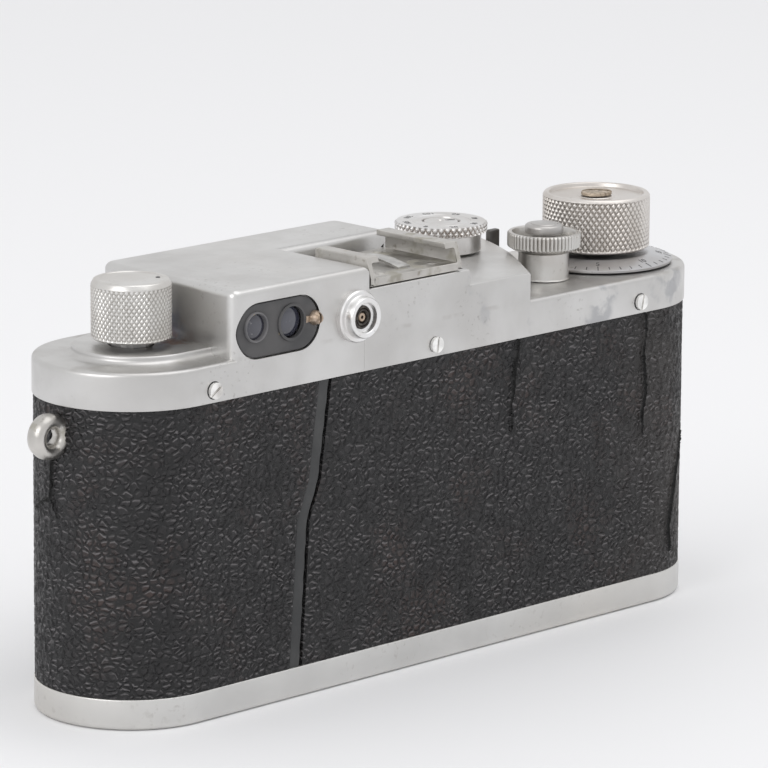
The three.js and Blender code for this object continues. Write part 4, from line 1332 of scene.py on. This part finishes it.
sync_axis_x, sync_axis_z = middle("sync_socket").x / mm, middle("sync_socket").z / mm
sync_front, sync_rim = low("sync_socket").y / mm, high("sync_socket").y / mm
socket_chrome = turned_finish("socket_chrome", (0.86, 0.86, 0.86), (sync_axis_x, sync_axis_z),
                              roughness=0.26, rings=0.2, upright=False)
base_height = sync_rim - sync_front
socket_profile = [(1.9, 0), (4.15, 0), (4.2, 0.1), (4.2, base_height - 1.7), (4.0, base_height - 1.45),
                  (3.45, base_height - 1.4), (3.35, base_height - 1.3), (3.3, base_height - 0.2),
                  (3.15, base_height), (2.55, base_height), (2.4, base_height - 0.12),
                  (2.3, base_height - 0.9), (1.9, base_height - 1.0)]
piece("sync_socket_turned", on_back(turned(socket_profile, 96, True), sync_axis_x, sync_axis_z, sync_front),
      socket_chrome, "camera_body", "chrome_fittings", "sync_socket", crease=35)


def bakelite_finish():
    """Dark brown moulded insulator, dull and dusty."""
    finish = Finish("bakelite", metallic=0.0)
    dust = finish.noise(1300, 3.0).fade(0.5, 0.7)
    finish.wire(
        base_color=finish.blend(dust, (0.03, 0.024, 0.02, 1), (0.13, 0.115, 0.10, 1)),
        roughness=finish.noise(700, 3.0) * 0.2 + 0.45,
    )
    finish.relief(finish.noise(1700, 3.0), 0.03 * mm, 0.4)
    return finish.material


bakelite = bakelite_finish()
ring_top = high("sync_insulator").y / mm - sync_front
insulator = turned([(1.0, 0.3), (1.85, 0.3), (1.85, ring_top - 0.1), (1.7, ring_top), (1.52, ring_top),
                    (1.42, ring_top - 0.3), (1.3, ring_top), (1.1, ring_top), (1.0, ring_top - 0.1)], 64,
                   True)
piece("sync_insulator_ring", on_back(insulator, sync_axis_x, sync_axis_z, sync_front), bakelite,
      "camera_body", "insulator", "sync_insulator")
pin_top = high("sync_contact").y / mm - sync_front
contact = turned([(0, 0.3), (0.8, 0.3), (0.8, pin_top - 0.2), (0.65, pin_top), (0.28, pin_top),
                  (0.28, pin_top - 0.8), (0, pin_top - 0.8)], 40)
piece("sync_contact_pin", on_back(contact, sync_axis_x, sync_axis_z, sync_front), lever_brass,
      "camera_body", "brass", "sync_contact")


# ---- Strap lugs ----
# Two nickelled eyelets stand out of the ends through slots in the covering. Straps have polished the
# dished hole in each.


def nickel_finish(name="worn_nickel", tone=(0.50, 0.485, 0.46), roughness=0.24, brush=0.0, clean=0.56):
    """Worn nickel plate: clouded, pitted, with brown-green grime here and there."""
    finish = Finish(name, metallic=1.0)
    clouds = finish.noise(160, 4.0).fade(0.3, 0.7)
    grime = finish.noise(260, 5.0).fade(clean, clean + 0.14)
    specks = 1 - finish.noise(900, 3.0).fade(0.24, 0.38)
    colour = finish.blend(clouds, (*tone, 1), (tone[0] * 1.25, tone[1] * 1.25, tone[2] * 1.25, 1))
    colour = finish.blend(specks * 0.6, colour, (0.25, 0.22, 0.18, 1))
    colour = finish.blend(grime * 0.45, colour, (0.20, 0.18, 0.11, 1))
    streaked = finish.node("ShaderNodeVectorMath", {"operation": "MULTIPLY"},
                           {0: finish.place, 1: (22, 1, 22)})
    lines = finish.noise(90, 2.0, streaked) * brush + finish.noise(2200, 2.0) * (1 - brush)
    finish.wire(
        base_color=colour, roughness=finish.noise(400, 3.0) * 0.15 + roughness + grime * 0.25,
        metallic=1 - grime * 0.35,
    )
    finish.relief(lines - specks, 0.02 * mm, 0.5)
    return finish.material


nickel = nickel_finish()
eye_radius = 3.65
for lug, side in (("strap_lug_rewind_end", 1), ("strap_lug_wind_end", -1)):
    centre = middle(lug) / mm
    half = (high(lug).y - low(lug).y) / 2 / mm
    inner, outer = sorted(abs(corner.x) / mm for corner in (low(lug), high(lug)))
    rows = [(1.25, 0.0), (1.32, 0.35 * half), (1.7, 0.8 * half), (2.3, half), (2.9, 0.96 * half),
            (3.4, 0.66 * half), (eye_radius, 0.2 * half)]
    rows += [(radius, -z) for radius, z in reversed(rows[1:])]
    eyelet = moved(turned(rows, 72, True), Matrix.Rotation(math.pi / 2, 4, "X"),
                   shift(side * (outer - eye_radius), centre.y, centre.z))
    ends = sorted((side * inner, side * (outer + 1)))
    outside = block(*ends, centre.y - 4, centre.y + 4, centre.z - 5, centre.z + 5)
    piece(lug + "_eyelet", carved(eyelet, [outside], "INTERSECT"), nickel, "camera_body", "nickel", lug,
          crease=40)


# ---- Accessory shoe ----
# A nickel-silver shoe riveted on the housing: a floor, two rails folded over it and a flat spring
# bowed along its floor that grips what is slid in. The rails' rear ends are cut on a slant.

shoe_nickel = nickel_finish("shoe_nickel", (0.47, 0.455, 0.43), 0.28, 0.7, 0.50)
shoe_low, shoe_high = low("accessory_shoe") / mm, high("accessory_shoe") / mm
sheet = 0.9
right_lip = 2.9
left_lip = 2.5
floor_top = shoe_low.z + sheet + 0.35
standing_up = Matrix.Rotation(math.pi / 2, 4, "X")


def rail(side, far, near):
    """One folded rail, square at the front and cut on a slant at the rear. It is drawn in X and Z."""
    wall = shoe_low.x if side < 0 else shoe_high.x
    lip = right_lip if side < 0 else left_lip
    section = [(wall, shoe_low.z + 0.2), (wall, shoe_high.z, 0.25), (wall - side * lip, shoe_high.z, 0.15),
               (wall - side * lip, shoe_high.z - sheet, 0.15),
               (wall - side * sheet, shoe_high.z - sheet, 0.35),
               (wall - side * sheet, shoe_low.z + 0.2)]
    folded = moved(prism(section if side < 0 else section[::-1], -shoe_high.y, -shoe_low.y, 6), standing_up)
    bmesh.ops.recalc_face_normals(folded, faces=folded.faces)
    above = shoe_high.z + 3
    front = [(shoe_low.y - 3, above), (shoe_low.y - 3, floor_top), (far, floor_top), (far, above)]
    back = [(near - 0.3, above), (near, shoe_high.z), (shoe_high.y, floor_top),
            (shoe_high.y + 3, floor_top), (shoe_high.y + 3, above)]
    along_x = Matrix(((0, 0, 1, 0), (1, 0, 0, 0), (0, 1, 0, 0), (0, 0, 0, 1)))
    cuts = [moved(prism(cut, shoe_low.x - 2, shoe_high.x + 2, 1), along_x) for cut in (front, back)]
    return carved(folded, cuts)


shoe_floor = prism(rounded_rect(shoe_low.x, shoe_high.x, shoe_low.y, shoe_high.y, 0.5), shoe_low.z,
                   floor_top, 5, (0, 0.12))
for rivet_x in (-0.6, 11.2):
    for rivet_y in (shoe_low.y + 2.2, shoe_high.y - 2.4):
        head = turned([(0, -0.3), (0.85, -0.3), (0.8, 0.03), (0.55, 0.1), (0, 0.13)], 28)
        shoe_floor = carved(shoe_floor, [moved(head, shift(rivet_x, rivet_y, floor_top))], "UNION")
rear_cut = shoe_high.y - 1.1
rails = [rail(-1, shoe_low.y + 0.4, rear_cut), rail(1, shoe_low.y + 4.2, rear_cut)]
shoe_shape = carved(shoe_floor, rails, "UNION")
piece("shoe_folded", eased(shoe_shape, 0.06, 50, 2), shoe_nickel, "camera_body", "nickel", "accessory_shoe",
      crease=30)
spring_low, spring_high = low("shoe_spring") / mm, high("shoe_spring") / mm
spring_rows = []
for i in range(25):
    along = spring_low.y + (spring_high.y - spring_low.y) * i / 24
    bow = math.sin(math.pi * i / 24) * 0.85
    centre_x = (spring_low.x + spring_high.x) / 2
    top, left, right = spring_low.z + 0.42 + bow, centre_x - 1.3, centre_x + 1.3
    spring_rows.append([Vector(p) * mm for p in ((left, along, top - 0.35), (right, along, top - 0.35),
                                                 (right, along, top),
                                                 ((left + right) / 2, along, top + 0.12),
                                                 (left, along, top))])
spring_shape = loft(spring_rows)
bmesh.ops.recalc_face_normals(spring_shape, faces=spring_shape.faces)
piece("shoe_leaf_spring", spring_shape, steel_finish("spring_steel", (0.44, 0.435, 0.42), 0.24),
      "camera_body", "steel", "shoe_spring", crease=25)


# ---- Screws ----
# Slotted cheese-head screws with flat polished heads. Three hold the cover at the back and four small
# ones hold the lens flange. Each stopped where its thread ran out.

screws = Recipe("screw_set", Radius=1.3 * mm, Tall=0.3 * mm, Slot=0.32 * mm, Deep=0.3 * mm, Turn=0.0,
                Paint="material")
head = screws.node("GeometryNodeMeshCylinder", {"fill_type": "NGON"},
                   {"Vertices": 40, "Radius": screws.size("Radius"), "Depth": screws.size("Tall")})["Mesh"]
slot_size = screws.vector(screws.size("Radius") * 3, screws.size("Slot"), screws.size("Deep") * 2)
slot_box = screws.node("GeometryNodeMeshCube", None, {"Size": slot_size})["Mesh"]
slot_box = screws.node("GeometryNodeTransform", None, {
    "Geometry": slot_box, "Translation": screws.vector(0.0, 0.0, screws.size("Tall") / 2),
    "Rotation": screws.vector(0.0, 0.0, screws.size("Turn"))})
slotted = screws.node("GeometryNodeMeshBoolean", {"operation": "DIFFERENCE"},
                      {"Mesh 1": head, "Mesh 2": slot_box})
screws.end(screws.node("GeometryNodeSetMaterial", None,
                       {"Geometry": slotted["Mesh"], "Material": screws.size("Paint")}))
screw_polish = steel_finish("screw_polish", (0.74, 0.735, 0.72), 0.22)


def screw_at(place, facing, radius, turn_degrees, tall=0.5):
    """One screw of the set as a shape, its head standing out of a face at a place."""
    made = bpy.data.objects.new("screw", bpy.data.meshes.new("screw"))
    bpy.context.collection.objects.link(made)
    screws.worked(made, Radius=radius * mm, Tall=tall * mm, Slot=0.40 * mm, Deep=0.40 * mm,
                  Turn=math.radians(turn_degrees), Paint=screw_polish)
    shape = bmesh.new()
    shape.from_mesh(made.data)
    bpy.data.objects.remove(made)
    return moved(shape, facing, shift(*place))


facing_front = Matrix.Rotation(math.pi / 2, 4, "X")
# Painted shade: a thin black ring round each back screw's seat stands in for the shadow round its head.
seats = []
for label, turn in (("back_screw_rewind_end", 35), ("back_screw_middle", 83), ("back_screw_wind_end", 78)):
    spot = middle(label) / mm
    piece(label + "_head", screw_at((spot.x, high(label).y / mm - 0.2, spot.z), facing_back, 1.3, turn),
          screw_polish, "camera_body", "nickel", label, crease=30)
    seat = turned([(1.28, -0.3), (1.44, -0.3), (1.44, 0.015), (1.28, 0.015)], 48, True)
    seats.append(on_back(seat, spot.x, spot.z, back_y))
piece("screw_seat_shade_ring", joined(*seats), ink, "camera_body", "black_paint")


# ---- Lens ----
# The mount is a chromed ring screwed to the body. The lens turns in a helical thread by its focusing
# ring, and a scalloped ring on the barrel sets the aperture. The marks are engraved and filled.

lens_axis = (lens_x, lens_z)
satin_mount = turned_finish("satin_mount", (0.66, 0.66, 0.655), lens_axis, roughness=0.30, upright=False)
bright_mount = turned_finish("bright_mount", (0.76, 0.755, 0.74), lens_axis, roughness=0.24, upright=False)


def about_lens(shape):
    """Turns a shape made about Z, whose height is the distance out of the front, on to the lens axis."""
    return moved(shape, facing_front, shift(lens_x, 0, lens_z))


def lens_part(name, profile, material, body, slot, *nodes, steps=160):
    line = [tuple(p) for p in softened(profile, 3)]
    return piece(name, about_lens(turned(line, steps, True)), material, body, slot, *nodes, crease=35)


def depths(node):
    """How far out of the front a node starts and ends."""
    return -high(node).y / mm, -low(node).y / mm


def outer_radius(node):
    return (high(node).z - low(node).z) / 2 / mm


start, end = 15.15, depths("lens_flange")[1]
radius = outer_radius("lens_flange")
lens_part("lens_flange_turned", [(15.4, start), (radius, start), (radius, end - 0.5, 0.1),
                                 (radius - 0.5, end, 0.15), (15.6, end), (15.4, end - 0.2)],
          satin_mount, "camera_body", "chrome_fittings", "lens_flange")
start, end = depths("lens_base")
radius = outer_radius("lens_base")
lens_part("lens_base_turned", [(15.2, start), (radius, start), (radius, end - 1.1, 0.2),
                               (radius - 0.9, end, 0.2), (15.2, end)],
          satin_mount, "camera_body", "chrome_fittings", "lens_base")
start, end = depths("focus_ring")
radius = (high("focus_ring").z - low("focus_ring").z) / 2 / mm
ring_rows = [(15.3, start), (radius - 0.3, start), (radius, start + 0.3)]
ring_rows += [(radius, start + 0.3 + (end - start - 0.6) * i / 12) for i in range(1, 13)]
ring_rows += [(radius - 0.3, end), (15.3, end)]
ring = to_object("ring", turned(ring_rows, 480, True))
ring = knurl.worked(ring, AxisX=0.0, AxisY=0.0, Radius=radius * mm, Around=60.0, Cross=0.0, Depth=0.32 * mm,
                    Bottom=(start + 0.2) * mm, Top=(end - 0.2) * mm, Flat=0.7)
ring.data.transform(shift(lens_x, 0, lens_z) @ facing_front)
piece("focus_ring_turned", ring, bright_mount, "focus", "chrome_fittings", "focus_ring", crease=35)
tab_reach = 25.0 - 18.4
tab_angle = math.radians(215)
tab_out = turned([(0, start + 0.5), (2.2, start + 0.5), (2.4, start + 0.8), (2.4, end - 0.7),
                  (2.2, end - 0.4), (1.2, end - 0.75), (0, end - 0.8)], 48)
tab_arm = eased(block(-tab_reach, 0, -1.9, 1.9, start + 0.6, end - 0.6), 0.3, 35, 2)
tab_shape = carved(moved(tab_out, shift(0, 0, 0)), [tab_arm], "UNION")
tab_place = Matrix.Rotation(tab_angle, 4, "Z") @ shift(25.0 - 2.4, 0, 0)
piece("focus_tab_turned", about_lens(moved(tab_shape, tab_place)), bright_mount, "focus", "chrome_fittings",
      "focus_tab", crease=35)
start, end = depths("lens_barrel")
radius = outer_radius("lens_barrel")
lens_part("lens_barrel_turned", [(9.3, start), (radius, start), (radius, end - 0.7, 0.15),
                                 (radius - 0.5, end, 0.2), (12.3, end), (9.6, end - 2.6), (9.3, end - 3.4)],
          satin_mount, "lens_front", "chrome_fittings", "lens_barrel")
start, end = depths("aperture_ring")
radius = outer_radius("aperture_ring")
ring_rows = [(14.95, start), (radius - 0.25, start), (radius, start + 0.25)]
ring_rows += [(radius, start + 0.25 + (end - start - 0.5) * i / 10) for i in range(1, 11)]
ring_rows += [(radius - 0.25, end), (14.95, end)]
ring = to_object("ring", turned(ring_rows, 400, True))
ring = knurl.worked(ring, AxisX=0.0, AxisY=0.0, Radius=radius * mm, Around=50.0, Cross=0.0, Depth=0.28 * mm,
                    Bottom=(start + 0.6) * mm, Top=(end - 0.2) * mm, Flat=0.7)
ring.data.transform(shift(lens_x, 0, lens_z) @ facing_front)
piece("aperture_ring_turned", ring, bright_mount, "aperture", "chrome_fittings", "aperture_ring", crease=35)


def around_lens(radius, depth, degrees):
    """A place on a ring's front face, with letters' feet towards the axis."""
    return (shift(lens_x, 0, lens_z) @ facing_front @ Matrix.Rotation(math.radians(degrees), 4, "Z")
            @ shift(0, radius, depth))


barrel_end = depths("lens_barrel")[1]
stops = [(word, 1.0, around_lens(13.3, barrel_end - 0.02, 70 - 20 * i))
         for i, word in enumerate(["3.5", "4.5", "6.3", "9", "12.5", "18"])]
piece("aperture_scale", lettering(stops), ink, "lens_front", "black_paint")
for name, node in (("front_glass", "front_element"), ("rear_glass", "rear_element")):
    near, far = depths(node)
    bulge = min(0.9, (far - near) / 2)
    glass = lens(outer_radius(node) + 0.15, 0, bulge, far - near - bulge, 96)
    if name == "rear_glass":
        glass = moved(glass, Matrix.Rotation(math.pi, 4, "X"), shift(0, 0, near + bulge))
    else:
        glass = moved(glass, shift(0, 0, far - bulge))
    piece(name, about_lens(glass), lens_glass, "lens_front", "glass", node)
flange_end = depths("lens_flange")[1]
screw_circle = 20.9
flange_screws = []
for quarter in range(4):
    a = math.radians(45 + 90 * quarter)
    spot = (lens_x + screw_circle * math.cos(a), -flange_end + 0.2, lens_z + screw_circle * math.sin(a))
    flange_screws.append(screw_at(spot, facing_front, 0.55, 20 + 47 * quarter, 0.4))
piece("flange_screws", joined(*flange_screws), screw_polish, "camera_body", "nickel")


# ---- Windows ----
# The rangefinder's two round panes, each set in a thin chromed bezel. The viewfinder's square pane keeps
# the frame's own shape and gets its glass further down.

pane_glass = glass_finish("pane_glass", (0.12, 0.14, 0.15), (0.03, 0.035, 0.04))
for node in ("rangefinder_window_outer", "rangefinder_window_inner"):
    near, far = depths(node)
    radius = outer_radius(node)
    spot = middle(node) / mm
    face = low(node).y / mm
    pane = lens(radius, 0, 0.12, far - near - 0.12, 64)
    pane = moved(pane, facing_front, shift(spot.x, face + 0.12, spot.z))
    piece(node + "_pane", pane, pane_glass, "camera_body", "glass", node)
    bezel = turned([(radius - 0.45, -0.35), (radius + 0.55, -0.35), (radius + 0.5, 0.2),
                    (radius + 0.2, 0.34), (radius - 0.15, 0.3), (radius - 0.45, 0.0)], 72, True)
    piece(node + "_bezel", moved(bezel, facing_front, shift(spot.x, face, spot.z)), bright_mount,
          "camera_body", "chrome_fittings")


# ---- Tripod bush ----
# A nickelled bush let into the base, with a turned thread for a tripod's screw.

bush_x, bush_y = middle("tripod_bush").x / mm, middle("tripod_bush").y / mm
bush_radius = (high("tripod_bush").x - low("tripod_bush").x) / 2 / mm
bush_low, bush_high = low("tripod_bush").z / mm, high("tripod_bush").z / mm
thread_rows = [(3.05 + (0.22 if i % 2 else 0), bush_low + 0.5 + i * 0.35)
               for i in range(int((bush_high - bush_low - 1.0) / 0.35))]
bush_rows = [(3.4, bush_low), (bush_radius - 0.2, bush_low), (bush_radius, bush_low + 0.2),
             (bush_radius, bush_high), (3.2, bush_high), *thread_rows[::-1]]
piece("tripod_bush_threaded", moved(turned(bush_rows, 96, True), shift(bush_x, bush_y, 0)), nickel, "base",
      "nickel", "tripod_bush", crease=35)


# ---- Inside and kept parts ----
# Plain turned, cast and rolled parts keep the frame's own shapes and get a worn finish of their kind.


def dull_finish(name, dark, light, roughness, grain_scale):
    """A dull soft finish, clouded, with a fine tooth: the rubberised curtains and the covering's edges."""
    finish = Finish(name, metallic=0.0)
    clouds = finish.noise(350, 3.0).fade(0.3, 0.7)
    finish.wire(
        base_color=finish.blend(clouds, (*dark, 1), (*light, 1)),
        roughness=finish.noise(900, 3.0) * 0.2 + roughness,
    )
    finish.relief(finish.noise(grain_scale, 2.0), 0.03 * mm, 0.6)
    return finish.material


covering_edge = dull_finish("covering_edge", (0.02, 0.02, 0.02), (0.045, 0.043, 0.042), 0.6, 2500)
by_slot = {
    "chrome_cap": cap_chrome,
    "chrome_fittings": turned_finish("plain_fittings", (0.66, 0.655, 0.65)),
    "nickel": nickel,
    "steel": steel_finish("inner_steel"),
    "brass": brass_finish("inner_brass", (0.50, 0.38, 0.20)),
    "covering": covering_edge,
    "covering_seam": covering_edge,
    "black_paint": inner_black,
    "glass": eye_glass,
    "insulator": bakelite,
    "curtain_cloth": dull_finish("curtain_silk", (0.012, 0.012, 0.013), (0.03, 0.03, 0.031), 0.7, 4000),
}
for subpart in frame["record"]["subparts"]:
    kept = frame["nodes"][subpart["node"]]
    kept.data.materials.clear()
    kept.data.materials.append(by_slot[subpart["material_slot"]])
